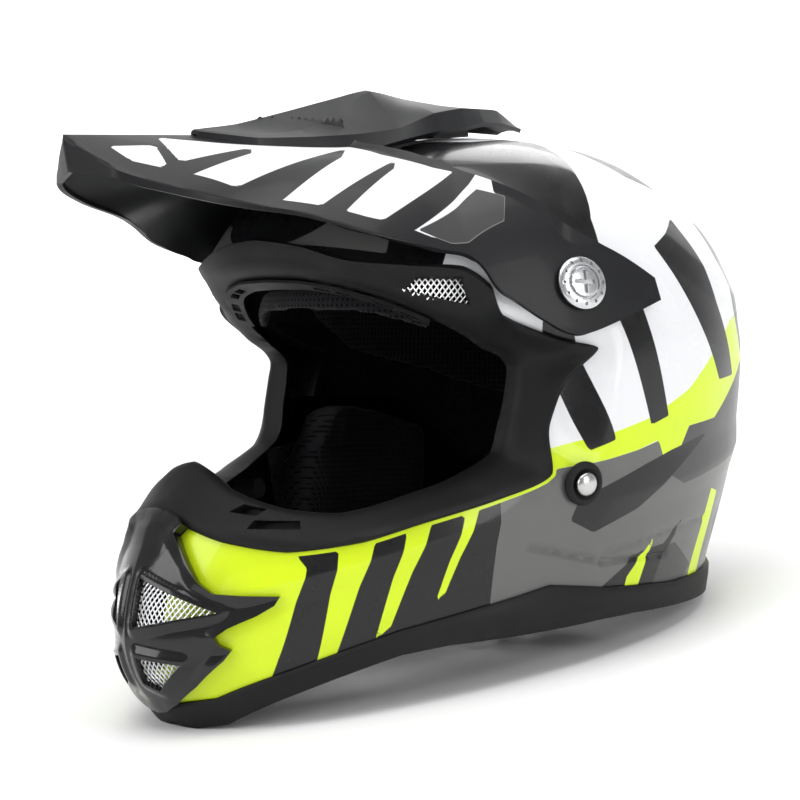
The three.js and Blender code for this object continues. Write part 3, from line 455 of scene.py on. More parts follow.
def look(name, **sockets):
    """A material and its shader, with the plain values set on the shader's own sockets."""
    material = bpy.data.materials.new(name)
    material.use_nodes = True
    tree = material.node_tree
    shader = next(n for n in tree.nodes if n.type == "BSDF_PRINCIPLED")
    for key, value in sockets.items():
        shader.inputs[key.replace("_", " ").title().replace("Ior", "IOR")].default_value = value
    return material, tree, shader


def place_of(tree):
    return add(tree, "ShaderNodeTexCoord").outputs["Object"]


def attribute(tree, name, output="Fac"):
    return add(tree, "ShaderNodeAttribute", attribute_name=name).outputs[output]


def noise(tree, scale, detail, vector=None, stretch=None):
    vector = vector or place_of(tree)
    if stretch:
        vector = add(tree, "ShaderNodeMapping", {"Vector": vector, "Scale": stretch}).outputs[0]
    inputs = {"Vector": vector, "Scale": scale, "Detail": detail}
    return add(tree, "ShaderNodeTexNoise", inputs).outputs["Fac"]


def cells(tree, scale, vector=None, dimensions="3D", random=1.0):
    """Distance to the nearest point of a scattered or regular pattern."""
    inputs = {"Vector": vector or place_of(tree), "Scale": scale, "Randomness": random}
    return add(tree, "ShaderNodeTexVoronoi", inputs, voronoi_dimensions=dimensions).outputs["Distance"]


def remap(tree, value, low, high, to_low=0.0, to_high=1.0):
    inputs = {"Value": value, "From Min": low, "From Max": high, "To Min": to_low, "To Max": to_high}
    return add(tree, "ShaderNodeMapRange", inputs).outputs[0]


def maths(tree, operation, a, b=0.0):
    return add(tree, "ShaderNodeMath", {0: a, 1: b}, operation=operation).outputs[0]


def blend(tree, fac, a, b):
    """Colour a where fac is 0 and b where it is 1. Colours are tuples or sockets."""
    mix = add(tree, "ShaderNodeMix", data_type="RGBA")
    for socket, value in ((mix.inputs[0], fac), (mix.inputs[6], a), (mix.inputs[7], b)):
        if isinstance(value, bpy.types.NodeSocket):
            tree.links.new(value, socket)
        elif isinstance(value, tuple):
            socket.default_value = (*value, 1)
        else:
            socket.default_value = value
    return mix.outputs[2]


def finish(tree, shader, colour, rough, height, strength, distance):
    """Gives the shader its colour, its roughness and the relief of a height."""
    relief = add(tree, "ShaderNodeBump", {"Height": height, "Strength": strength, "Distance": distance})
    for name, socket in (("Base Color", colour), ("Roughness", rough), ("Normal", relief.outputs[0])):
        tree.links.new(socket, shader.inputs[name])


def moulded(name, dark, light, roughness, grain, depth, **sockets):
    """Moulded plastic or rubber with a fine grain, faint mottling and handling marks."""
    material, tree, shader = look(name, **sockets)
    colour = blend(tree, noise(tree, 60, 4), dark, light)
    wear = noise(tree, 25, 5, stretch=(1, 1, 3))
    rough = remap(tree, wear, 0.3, 0.7, roughness - 0.06, roughness + 0.06)
    finish(tree, shader, colour, rough, noise(tree, grain, 2), 0.5, depth)
    return material


def metal(name, dark, light, roughness, stretch):
    """Bright metal with fine machining lines and faint stains."""
    material, tree, shader = look(name, metallic=1.0)
    lines = noise(tree, 900, 2, stretch=stretch)
    colour = blend(tree, noise(tree, 90, 4), dark, light)
    rough = remap(tree, lines, 0.2, 0.8, roughness - 0.08, roughness + 0.1)
    finish(tree, shader, colour, rough, lines, 0.35, 0.00003)
    return material


WHITE = (0.76, 0.77, 0.79)
BLACK = (0.006, 0.006, 0.007)
NEON = (0.62, 0.80, 0.012)
GREY = (0.12, 0.12, 0.118)
SLATE = (0.045, 0.045, 0.046)
EDGE = 0.14  # half the width of a painted edge, in millimetres


def shaded(colour, factor):
    return tuple(c * factor for c in colour)


def painted(name, layers, roughness, coat):
    """White paint under masked layers: each is (attribute, colour, roughness change)."""
    material, tree, shader = look(name, coat_weight=coat, coat_roughness=0.06, specular_ior_level=0.25)
    colour = blend(tree, noise(tree, 35, 3), shaded(WHITE, 0.965), WHITE)
    rough = remap(tree, noise(tree, 40, 4), 0.3, 0.7, roughness - 0.03, roughness + 0.04)
    for layer, paint, change in layers:
        mask = remap(tree, attribute(tree, layer), EDGE, -EDGE)
        tone = blend(tree, noise(tree, 50, 3), shaded(paint, 0.9), shaded(paint, 1.06))
        colour = blend(tree, mask, colour, tone)
        rough = maths(tree, "ADD", rough, maths(tree, "MULTIPLY", mask, change))
    peel = noise(tree, 330, 1)
    finish(tree, shader, colour, rough, peel, 0.12, 0.00012)
    return material


def perforated(name, thread, hole, spacing, depth):
    """Knitted cloth with rows of small holes, in the piece's own cloth coordinates. The holes are painted
    near black, partly the dark backing and partly painted shade, and raised yarn is painted lighter than low
    yarn as painted shading.
    """
    material, tree, shader = look(name, sheen_weight=0.06, sheen_roughness=0.5, specular_ior_level=0.1)
    weave = attribute(tree, "weave", "Vector")
    pit = remap(tree, cells(tree, 1 / spacing, weave, "2D", 0.0), 0.26, 0.34)
    yarn = noise(tree, 2.2, 2, vector=weave)
    # painted shade: the holes take a near black colour, partly the dark backing and partly painted shade, and
    # the yarn's tone follows its relief, lighter where raised and darker where low
    colour = blend(tree, pit, hole, blend(tree, yarn, shaded(thread, 0.6), shaded(thread, 1.4)))
    rough = remap(tree, yarn, 0.3, 0.7, 0.82, 0.97)
    height = maths(tree, "ADD", pit, maths(tree, "MULTIPLY", yarn, 0.35))
    finish(tree, shader, colour, rough, height, 0.8, depth)
    return material


def webbed(name, dark, light):
    """Woven tape: ribs along it and a fine weft across, its colour painted darker in the grooves and lighter
    on the crests as painted shade and painted highlight.
    """
    material, tree, shader = look(name, sheen_weight=0.3, sheen_roughness=0.4)
    weave = attribute(tree, "weave", "Vector")
    parts = add(tree, "ShaderNodeSeparateXYZ", {0: weave})
    ribs = maths(tree, "SINE", maths(tree, "MULTIPLY", parts.outputs[1], 3.1))
    weft = maths(tree, "SINE", maths(tree, "MULTIPLY", parts.outputs[0], 5.2))
    cloth = maths(tree, "ADD", maths(tree, "MULTIPLY", ribs, 0.7), maths(tree, "MULTIPLY", weft, 0.3))
    # the colour follows the relief: painted shade in the grooves between the ribs and painted highlight on
    # their crests
    colour = blend(tree, remap(tree, cloth, -1, 1), dark, light)
    rough = remap(tree, noise(tree, 0.8, 3, vector=weave), 0.3, 0.7, 0.72, 0.9)
    finish(tree, shader, colour, rough, cloth, 0.7, 0.0003)
    return material


def beaded(name, dark, light, scale, depth):
    """Foam of fused beads or open cells, each painted lighter in its middle and darker towards its edges as
    painted shade between them.
    """
    material, tree, shader = look(name, specular_ior_level=0.15)
    beads = cells(tree, scale)
    # painted shade: each bead is lighter in its middle and darker towards its edges, where it meets its
    # neighbours
    colour = blend(tree, remap(tree, beads, 0.1, 0.6), light, dark)
    rough = remap(tree, noise(tree, 70, 3), 0.3, 0.7, 0.75, 0.95)
    finish(tree, shader, colour, rough, beads, 0.8, depth)
    return material


PAINT = painted("shell_paint_look", [
    ("pitch", BLACK, 0.0), ("ash", GREY, 0.06), ("coal", SLATE, 0.04), ("neon", NEON, 0.02),
    ("night", BLACK, 0.0)], roughness=0.27, coat=0.3)
PEAK_PAINT = painted("peak_paint_look", [
    ("ash", SLATE, 0.08), ("night", (0.007, 0.0073, 0.0085), 0.12)], roughness=0.34, coat=0.05)
RUBBER = moulded("trim_rubber_look", (0.005, 0.005, 0.0055), (0.008, 0.008, 0.009), 0.56, 1500, 0.00008,
                 specular_ior_level=0.22)
GLOSS = moulded("gloss_black_look", (0.003, 0.003, 0.0035), (0.005, 0.005, 0.006), 0.16, 500, 0.00002,
                coat_weight=0.35, coat_roughness=0.05, specular_ior_level=0.3)
SATIN = moulded("crest_plastic_look", (0.007, 0.0073, 0.0085), (0.010, 0.0105, 0.012), 0.42, 1800, 0.00005,
                specular_ior_level=0.3)
SNAP = moulded("snap_plastic_look", (0.012, 0.012, 0.013), (0.022, 0.022, 0.023), 0.48, 900, 0.00005)
WIRE = metal("woven_mesh_look", (0.66, 0.67, 0.69), (0.82, 0.82, 0.83), 0.34, (1, 6, 1))
ALUMINIUM = metal("screw_aluminium_look", (0.50, 0.51, 0.53), (0.66, 0.66, 0.67), 0.28, (1, 1, 8))
STEEL = metal("steel_look", (0.42, 0.42, 0.43), (0.60, 0.59, 0.58), 0.26, (1, 8, 1))
# the pads' near black hole colour is the dark backing with painted shade in the holes
FABRIC = perforated("pad_fabric_look", (0.013, 0.013, 0.015), (0.0015, 0.0015, 0.002), 2.6, 0.0006)
# the webbing's darker colour is painted shade in the grooves, its lighter colour painted highlight on the
# ribs
WEBBING = webbed("webbing_look", (0.006, 0.006, 0.007), (0.028, 0.028, 0.030))
# the foams' darker colours are painted shade at the beads' edges
CRUSH = beaded("crush_foam_look", (0.004, 0.004, 0.004), (0.010, 0.010, 0.011), 420, 0.0004)
FILTER = beaded("filter_foam_look", (0.003, 0.003, 0.003), (0.022, 0.022, 0.022), 600, 0.0009)

# ---------------------------------------------------------------- shared outlines

# Eyeport trim from the brow down the left side to the chin: outer edge as (phi, z), inner edge
# as (phi, z) and the inner edge's depth below the skin
EYEPORT = [
    ((0, 214), (0, 201.5), 8), ((15, 210.5), (12, 200.5), 8), ((28, 203.5), (24, 196.5), 9),
    ((40, 202), (35.5, 190.5), 12), ((52, 201), (46.5, 182), 15), ((57.5, 193), (55, 174), 12),
    ((60, 180), (59.5, 168.5), 11), ((72.5, 170.5), (64, 164), 10), ((80.8, 165.5), (66.5, 158), 10),
    ((75.8, 150), (67, 148), 10), ((73.9, 130), (67, 133), 10), ((74, 109), (66.5, 116), 14),
    ((64.4, 98), (58, 106), 18), ((54, 89), (50, 101.5), 17), ((45, 81), (40, 95.5), 12),
    ((33, 76.8), (29, 97.3), 8), ((20, 80.5), (16, 104), 4), ((9, 86.5), (6.5, 112), 2),
    ((0, 90.5), (0, 115), 2),
]
LIP_SHARE = 0.12  # how far across the trim the shell reaches under it
SHELL_HEM = [(0, 3), (20, 9), (37, 23), (54, 39), (71, 51), (78, 56), (91, 53), (110, 52), (126, 54),
             (150, 58), (180, 60)]
TRIM_HEM = [(0, -4), (20, 2), (37, 17.5), (54, 32.5), (71, 36), (91, 41), (110, 44), (135, 44), (180, 44.5)]
BROW_WINDOW = [(40.5, 192.5), (54, 185), (52, 196.5), (42.5, 197)]
UPPER_WINDOW = [(3.4, 42), (22.5, 50.5), (3.4, 63)]
LOWER_WINDOW = [(4, 21), (8, 17.5), (15.5, 28.5), (4, 31)]
MOUTH_DUCT = np.array([(-9, 24), (9, 24), (9, 64), (-9, 64)], float)
TRIM_SLOTS = [
    [(18.5, 93.5), (24.5, 92.5), (25.5, 96), (20.5, 97.5)],
    [(24, 86.5), (34, 87), (33, 91), (24.5, 90.5)],
]
EYEPORT_ROUNDING = 0.6  # how far the outline follows a curve rather than straight lines


def eyeport_rows(share, count):
    """The trim's phi, z and depth at a share of the way from its outer to its inner edge."""
    sunk = max(share - LIP_SHARE, 0) / (1 - LIP_SHARE)
    half = np.array([(a[0] + (b[0] - a[0]) * share, a[1] + (b[1] - a[1]) * share, depth * sunk)
                     for a, b, depth in EYEPORT])
    closed = np.vstack([half, half[-2:0:-1] * [-1, 1, 1]])
    wrapped = np.vstack([closed[-2:], closed, closed[:3]])
    k = np.linspace(0, len(closed), count, endpoint=False) + 2
    i = np.floor(k).astype(int)
    f = (k - i)[:, None]
    a, b, c, d = (wrapped[i + n] for n in (-1, 0, 1, 2))
    straight = b + (c - b) * f
    return EYEPORT_ROUNDING * catmull_rom(a, b, c, d, f) + (1 - EYEPORT_ROUNDING) * straight


def eyeport_outline(share, count):
    return eyeport_rows(share, count)[:, :2]


def prism(outline, low, high):
    """A cutter that follows the skin between two heights."""
    outline = np.asarray(outline, float)
    fine = divided(outline, np.roll(outline, -1, axis=0), 5)
    return radial("cutter", fine, outline.mean(0), 3,
                  lambda phi, z, side: skin(phi, z, high if side else low), RUBBER)


def prisms(outlines, low, high):
    """Cutters for the outlines and for their mirror images."""
    pairs = [(outline, [(-p, z) for p, z in outline[::-1]]) for outline in outlines]
    return [prism(outline, low, high) for pair in pairs for outline in pair]


# ---------------------------------------------------------------- outer shell

SHELL_THICKNESS = 4

# creases on the left side as (y, z) lines, with the rise and reach of each
SIDE_CREASES = [
    ([(-60, 247), (-4, 248), (-8, 227), (24, 222), (61, 202), (100, 190)], 1.3, 13),
    ([(-12, 97), (40, 106), (93, 116), (120, 122)], 1.6, 12),
    ([(-165, 60), (-120, 74), (-80, 86), (-60, 92)], 1.4, 10),
    ([(-54, 77), (-36, 73), (-12, 68), (32, 69)], -1.6, 2.4),
    ([(-12, 67), (-12, 72), (32, 80), (66, 84)], -1.1, 2.2),
]


def shell_relief(phi, z):
    """How far the creases raise the shell."""
    flat = np.column_stack([from_front(phi) * ARC, z])
    height = np.zeros(len(flat))
    steps = np.linspace(0, 1, 24)
    for line, rise, reach in SIDE_CREASES:
        fine = flowing(line, steps) if len(line) > 4 else along(line, steps)
        distance = line_distance(flat, [(side_angle(y, z) * ARC, z) for y, z in fine])
        height += rise * np.clip(1 - distance / reach, 0, 1)
    return height


# painted shapes on the left side as (y, z) polygons, mirrored to the right
NIGHT_SIDE = [
    [(-60, 196), (-62, 262), (-26, 262), (12, 266), (-2, 246), (-12, 224), (-14, 196)],
    [(22, 262), (40, 260), (58, 240), (38, 246)],
    [(-48, 178), (-34, 182), (-12, 124), (-24, 119)],
    [(-14, 188), (2, 193), (22, 134), (10, 130)],
    [(22, 212), (48, 226), (84, 152), (66, 150)],
    [(76, 226), (96, 222), (112, 170), (100, 162)],
    [(-30, 98), (8, 112), (26, 118), (58, 126), (30, 108), (6, 92), (-20, 82), (-34, 88)],
    [(-20, 50), (14, 72), (30, 74), (46, 88), (30, 66), (24, 50)],
]
ASH_SIDE = [
    [(-70, 30), (-70, 111), (-44, 111), (-21, 114), (3, 119), (39, 129), (63, 132), (93, 160), (150, 160),
     (150, 30)],
    [(-124, 212), (-112, 222), (-96, 224), (-104, 207)],
]
COAL_SIDE = [
    [(40, 129), (63, 132), (93, 160), (150, 160), (150, 122), (88, 112), (38, 102), (22, 108)],
    [(-8, 50), (8, 70), (40, 74), (60, 62), (48, 50)],
    [(96, 50), (84, 82), (100, 98), (150, 104), (150, 50)],
]
NEON_SIDE = [
    [(-70, 113), (-22, 125), (8, 133), (37, 146), (60, 164), (82, 178), (150, 196), (150, 158), (100, 158),
     (63, 132), (39, 129), (26, 106), (16, 123), (3, 119), (-21, 114), (-44, 111), (-70, 104)],
    [(6, 60), (22, 78), (13, 50), (4, 50)],
    [(58, 50), (70, 98), (79, 96), (70, 50)],
    [(84, 50), (112, 100), (118, 92), (100, 50)],
    [(-220, 96), (-160, 96), (-146, 70), (-154, 30), (-160, -10), (-220, -10)],
    [(-134, 84), (-120, 88), (-134, 30), (-141, 24)],
    [(-108, 92), (-98, 94), (-113, 44), (-119, 38)],
    [(-84, 98), (-78, 99), (-91, 58), (-95, 54)],
]
# the chin, and the forehead between peak and eyeport
PITCH_SIDE = [
    [(-220, -20), (-220, 94), (-72, 116), (-53, 110), (-54, 60), (-46, 40), (-46, -20)],
    [(-150, 190), (-150, 262), (-60, 264), (-60, 222), (-84, 208), (-90, 196)],
]


def draw_onto(flat, chosen, outline):
    """Moves the chosen points of (phi, z) onto the nearest edge of an outline."""
    a = outline * UNROLL
    b = np.roll(a, -1, axis=0)
    for n in chosen:
        p = flat[n] * UNROLL
        share = np.clip(((p - a) * (b - a)).sum(1) / ((b - a) ** 2).sum(1), 0, 1)
        foot = a + share[:, None] * (b - a)
        flat[n] = foot[np.linalg.norm(foot - p, axis=1).argmin()] / UNROLL


def paint_shell(shell, where, flat):
    """Marks each paint's distance on the outer face. The inner face is black."""
    crown_level, crown_half = 205, 20
    ribbon_half, ribbon_level = 1.9, 112
    chin_level, gap = 96, 0.4
    side = where[:, 1:]
    level = where[:, 2]
    night = nearest_area(side, NIGHT_SIDE)
    # the dark panels stop short of the crown's middle
    night = np.where(level > crown_level, np.maximum(night, crown_half - np.abs(where[:, 0])), night)
    # a neon ribbon follows the eyeport's lower edge
    unrolled = np.column_stack([np.abs(flat[:, 0]) * ARC, flat[:, 1]])
    to_port = area_distance(unrolled, eyeport_outline(0.0, 200)[:101] * UNROLL)
    ribbon = np.maximum(np.abs(to_port) - ribbon_half, level - ribbon_level)
    neon = np.minimum(nearest_area(side, NEON_SIDE), ribbon)
    # at the chin and the hem the neon cuts the dark panels away
    night = np.where(level < chin_level, np.maximum(night, gap - neon), night)
    outside = {"pitch": nearest_area(side, PITCH_SIDE), "ash": nearest_area(side, ASH_SIDE),
               "coal": nearest_area(side, COAL_SIDE), "neon": neon, "night": night}
    for name, distance in outside.items():
        back = np.full(len(where), -5.0 if name == "night" else 5.0)
        mark(shell, name, np.concatenate([distance, back]))


def build_shell():
    columns, rings = 480, 190
    turn, t, faces = dome(SHELL_HEM, columns, rings)
    flat = np.column_stack([np.where(turn > 180, turn - 360, turn), slice_values(t)[:, 0]])

    # open the eyeport and the mouth duct, then draw the cut edges onto the outlines
    port = eyeport_outline(LIP_SHARE + 0.01, 400)
    opened = np.concatenate([[False], inside(flat, port) | inside(flat, MOUTH_DUCT)])
    faces = [f for f in faces if opened[f].sum() < 2]
    uses = np.zeros(len(opened), int)
    for f in faces:
        uses[f] += 1
    cut = (uses[1:] > 0) & (uses[1:] < 4)
    cut[:columns] = cut[-columns:] = False
    for outline in (port, MOUTH_DUCT):
        near = line_distance(flat * UNROLL, outline * UNROLL, closed=True) < 6
        draw_onto(flat, np.where(cut & near)[0], outline)

    turn, level = flat.T
    t = slice_of(level)
    normal = slice_normal(turn, t)
    base = slice_point(turn, t) - normal * cheek_hollow(turn, level)[:, None]
    outer = np.vstack([TOP_POINT, base + normal * shell_relief(turn, level)[:, None]])
    inner = np.vstack([TOP_POINT - [0, 0, SHELL_THICKNESS], base - normal * SHELL_THICKNESS])

    # drop the points that no face uses, and close the shell along its free edges
    used = np.unique(np.concatenate(faces))
    rename = np.zeros(len(outer), int)
    rename[used] = np.arange(len(used))
    faces = [rename[f].tolist() for f in faces]
    edges = dict.fromkeys((a, b) for f in faces for a, b in zip(f, f[1:] + f[:1]))
    rim = [(a, b) for a, b in edges if (b, a) not in edges]
    points = np.vstack([outer[used], inner[used]])
    shell = solid("shell_painted", points, thickened(faces, len(used), rim), PAINT, 30)
    paint_shell(shell, outer[used], np.vstack([[0, SLICES[-1, 0]], flat])[used])
    return own(shell, "helmet", "shell_paint", "outer_shell")


build_shell()

# ---------------------------------------------------------------- rubber trims

def build_eyeport_trim():
    # share across the trim and height over the skin, round one section
    corners = [(0, 0.1), (0, 1.5), (0.04, 2.5), (0.12, 3.2), (0.3, 3.3), (0.5, 2.8), (0.66, 3.1), (0.84, 3.4),
               (0.95, 2.6), (1, 0.8), (1, -3), (1, -8), (0.9, -9), (0.7, -9.4), (0.4, -8), (0.17, -6),
               (0.16, 0.1)]
    stations = 420
    sections = []
    for share, height in corners:
        phi, z, depth = eyeport_rows(share, stations).T
        sections.append(skin(phi, z, height - depth))
    sections = np.stack(sections, 1)
    trim = loop("eyeport_surround", sections, RUBBER, 40)
    carve(trim, *prisms([BROW_WINDOW], -26, 9), *prisms(TRIM_SLOTS, -6, 9))
    bevel(trim, 0.7, 3, 50)
    return own(trim, "helmet", "trim_rubber", "eyeport_trim")


build_eyeport_trim()


def build_neck_trim():
    stations = 420
    phi = np.linspace(0, 360, stations, endpoint=False)
    hem = hem_height(SHELL_HEM, phi)
    low = hem_height(TRIM_HEM, phi)
    middle = (hem + low) / 2
    rows = [(hem + 3.2, 0.1), (hem + 3.2, 1.4), (hem + 2.2, 2.3), (middle + 4, 2.8), (middle - 4, 2.8),
            (low + 2.5, 2.2), (low + 0.4, 0.6), (low, -1.6), (low, -4.4), (low + 1.6, -6), (middle, -8),
            (hem - 0.6, -6), (hem - 0.6, 0.1)]
    sections = standing(np.stack([skin(phi, z, np.full(stations, h)) for z, h in rows], 1))
    sections[..., 2] = np.maximum(sections[..., 2], 0)
    trim = loop("neck_edging", sections, RUBBER, 40, to_frame=lambda p: p)
    return own(trim, "helmet", "trim_rubber", "neck_trim")


build_neck_trim()

# ---------------------------------------------------------------- mouth vent

# the cover's left half outline from the hood's top to the chin, as (phi, z)
COVER = [(0, 91.5), (4, 91.2), (8.5, 89), (10.5, 86), (9.2, 83), (13, 74), (17.5, 63), (21, 58.5), (27, 58),
         (33.5, 58), (32.8, 54), (30, 49.5), (25, 44), (22.6, 40), (23.5, 37), (26, 34.5), (24.5, 30.5),
         (18, 20), (11, 11.5), (5, 7), (0, 6)]


PROW, PROW_WIDTH = 7.5, 30  # how far the vent's middle stands forward, and its half width in degrees


def prow(phi, z):
    """How far the vent's pointed middle stands forward."""
    rise = np.clip(np.sin(math.pi * np.clip((z - 4) / 88, 0, 1)), 0, 1) ** 0.7
    return PROW * np.clip(1 - np.abs(phi) / PROW_WIDTH, 0, 1) * rise


def cover_height(phi, z):
    """The cover's height over the skin, sunk between its edge and the windows."""
    flat = np.column_stack([np.abs(phi) * ARC, z])
    rim = np.full(len(flat), 1e3)
    for window in (UPPER_WINDOW, LOWER_WINDOW):
        rim = np.minimum(rim, area_distance(flat, np.array(window) * UNROLL))
    edge = line_distance(flat, np.array(COVER) * UNROLL)
    recess = -1.6 * np.clip(edge / 5, 0, 1) * np.clip((rim - 1.5) / 3, 0, 1)
    hood = 2.2 * np.clip((z - 76) / 8, 0, 1)
    return 3.2 + prow(phi, z) + recess + hood


def build_mouth_vent():
    corners = np.array(COVER, float)
    half = np.vstack([divided(corners[:-1], corners[1:], 6), corners[-1:]])
    outline = np.vstack([half, half[-2:0:-1] * [-1, 1]])

    def place(phi, z, side):
        return skin(phi, z, cover_height(phi, z) if side else 0.15 + prow(phi, z) * 0.55)

    cover = radial("mouth_vent_hood", outline, np.array([0.0, 45.0]), 34, place, GLOSS)
    carve(cover, *prisms([UPPER_WINDOW, LOWER_WINDOW], -8, 22))
    bevel(cover, 0.6, 3, 38)
    return own(cover, "helmet", "gloss_black", "mouth_vent_cover")


build_mouth_vent()


def tubes(name, starts, ends, radius, material):
    """Short six-sided rods between pairs of points, as one piece."""
    starts, ends = standing(starts), standing(ends)
    way = ends - starts
    way /= np.linalg.norm(way, axis=1, keepdims=True)
    helper = np.where(np.abs(way[:, 2:3]) < 0.9, [[0.0, 0, 1]], [[1.0, 0, 0]])
    side = np.cross(way, helper)
    side /= np.linalg.norm(side, axis=1, keepdims=True)
    other = np.cross(way, side)
    angle = np.arange(6) * math.pi / 3
    cosine, sine = np.cos(angle)[None, :, None], np.sin(angle)[None, :, None]
    ring = (cosine * side[:, None] + sine * other[:, None]) * radius / 1000
    over = way[:, None] * radius / 2500
    points = np.concatenate([starts[:, None] + ring - over, ends[:, None] + ring + over], 1).reshape(-1, 3)
    faces = []
    for n in range(0, len(points), 12):
        faces += [[n + k, n + (k + 1) % 6, n + 6 + (k + 1) % 6, n + 6 + k] for k in range(6)]
        faces += [[n + 5 - k for k in range(6)], [n + 6 + k for k in range(6)]]
    return new_piece(name, points, faces, material, 40)


WIRE_RADIUS = 0.36
LOZENGE = 1.45  # height of a mesh's hole to its width
MESH_SPREAD = 1.16  # the mesh reaches under the window's edge


def woven(name, window, height, pitch, node):
    """Expanded metal over a window: wires round lozenge holes, bent to the skin."""
    area = np.array(window, float) * UNROLL
    centre = area.mean(0)
    area = centre + (area - centre) * MESH_SPREAD
    tall = pitch * LOZENGE
    low, high = area.min(0) - pitch, area.max(0) + pitch
    columns = int((high[0] - low[0]) / pitch) + 2
    rows = int((high[1] - low[1]) / tall) + 2
    wires = []
    for i in range(columns):
        for j in range(rows):
            x, z = low[0] + i * pitch, low[1] + j * tall
            left, right = (x - pitch * 0.5, z), (x + pitch * 0.5, z)
            top, bottom = (x, z + tall * 0.5), (x, z - tall * 0.5)
            wires += [(left, top), (top, right), (right, bottom), (bottom, left)]
    wires = np.array(wires)
    wires = wires[inside(wires.mean(1), area)]
    phi, z = wires[..., 0] / ARC, wires[..., 1]
    starts, ends = (skin(phi[:, n], z[:, n], height(phi[:, n], z[:, n])) for n in (0, 1))
    return own(tubes(name, starts, ends, WIRE_RADIUS, WIRE), "helmet", "woven_mesh", node)


def mouth_mesh_height(phi, z):
    return 1.1 + prow(phi, z) * 0.8


def brow_mesh_height(phi, z):
    return -np.interp(z, [186, 196.5], [8.2, 4])


for suffix, flip in (("left", 1), ("right", -1)):
    for part, window in (("upper", UPPER_WINDOW), ("lower", LOWER_WINDOW)):
        woven(f"mouth_grille_{part}_{suffix}", flipped(window, flip), mouth_mesh_height, 2.5,
              f"mouth_mesh_{part}_{suffix}")
    woven(f"brow_grille_{suffix}", flipped(BROW_WINDOW, flip), brow_mesh_height, 2.4,
          f"brow_vent_mesh_{suffix}")

# ---------------------------------------------------------------- the peak

PEAK_REAR = np.array([
    [0, -88, 264], [12, -88, 262], [25, -87, 258], [38, -82, 256], [52, -76, 252.5], [64, -71, 249],
    [74, -66, 245], [82, -62, 242], [90, -54, 238], [97, -47, 233.5], [104, -40, 227], [110, -35, 220.5],
    [114, -24, 214.5], [118, -8, 206.5], [122, 9, 197]], float)
PEAK_FRONT = np.array([
    [0, -229, 257], [24, -217, 241.5], [39, -196, 234], [50, -169, 228], [66, -149, 223.5],
    [82, -126, 215.5], [92, -98, 209], [98, -80, 205], [105, -72, 191], [110, -66, 186],
    [116, -55, 178], [121, -43, 172], [123, -33, 172], [125, -12, 179], [125, 10, 187]], float)
PEAK_THICKNESS = 2.6
PEAK_CLEARANCE = 4.2
RIM_START = 0.86  # where the turned-down rim begins, from rear to front


def peak_point(u, v):
    """The underside's point, u from arm to arm and v from the rear edge to the front edge."""
    k = np.abs(2 * u - 1) * (len(PEAK_REAR) - 1)
    share = k / (len(PEAK_REAR) - 1)
    rear = np.where(k[:, None] < 1, along(PEAK_REAR, share), flowing(PEAK_REAR, share))
    front = np.where(k[:, None] < 1, along(PEAK_FRONT, share), flowing(PEAK_FRONT, share))
    # the turned-down rim runs out towards the arms
    rim = RIM_START + (1 - RIM_START) * np.minimum(k / 6, 1)
    across = np.minimum(v / rim, 1)
    top = rear + (front - rear) * across[:, None]
    top[:, 2] += 2.5 * np.sin(math.pi * across) * np.minimum(k, 1) * np.maximum(1 - k / 8, 0)
    for _ in range(3):
        distance, way = outwards(top)
        short = np.maximum(PEAK_CLEARANCE + PEAK_THICKNESS - distance, 0)
        top = top + way * short[:, None]
    depth = np.maximum(v - rim, 0) / np.maximum(1 - rim, 1e-6)
    nose = np.maximum(1 - k, 0) * 11
    lip = 5 * np.maximum(1 - k / 6, 0)
    top[:, 2] -= depth * (nose + lip)
    top[:, 1] += depth * nose * 0.3
    top[:, 0] *= np.where(2 * u - 1 < 0, -1, 1)
    return top


def sheet_normal(place, u, v):
    """The normal of the sheet place(u, v)."""
    step = 0.006
    across = place(np.clip(u + step, 0, 1), v) - place(np.clip(u - step, 0, 1), v)
    way = place(u, np.clip(v + step, 0, 1)) - place(u, np.clip(v - step, 0, 1))
    normal = np.cross(across, way)
    return normal / np.linalg.norm(normal, axis=1, keepdims=True)


# the white field on the peak's left half and the dark slashes over it, as (x, y) polygons
PEAK_WHITE = [
    [(9, -211), (20, -207), (28, -193), (10, -188)],
    [(3, -182), (32, -186), (46, -164), (62, -144), (77, -122), (89, -97), (95, -62), (84, -58),
     (66, -76), (44, -88), (27, -92), (17, -139), (8, -164)],
]
PEAK_SLASHES = [
    [(26, -196), (34, -186), (24, -146), (19, -142)],
    [(44, -172), (56, -154), (38, -106), (29, -96)],
    [(66, -142), (72, -132), (58, -92), (52, -86)],
    [(80, -118), (86, -104), (80, -62), (72, -68)],
]
PEAK_ASH = [(86, -102), (93, -88), (98, -62), (92, -56), (84, -66)]

SCREW_Y, SCREW_Z = -34, 192.0


def screw_angle():
    """The angle at which the skin reaches the screws' y."""
    phi = 76.0
    for _ in range(30):
        phi += (SCREW_Y - skin(phi, SCREW_Z)[1]) * 0.3
    return phi


SCREW_PHI = screw_angle()
SCREW_SEAT = skin(SCREW_PHI, SCREW_Z)
SCREW_AXIS = slice_normal(np.float64(SCREW_PHI), slice_of(SCREW_Z))
MIRROR = np.array([-1.0, 1, 1])


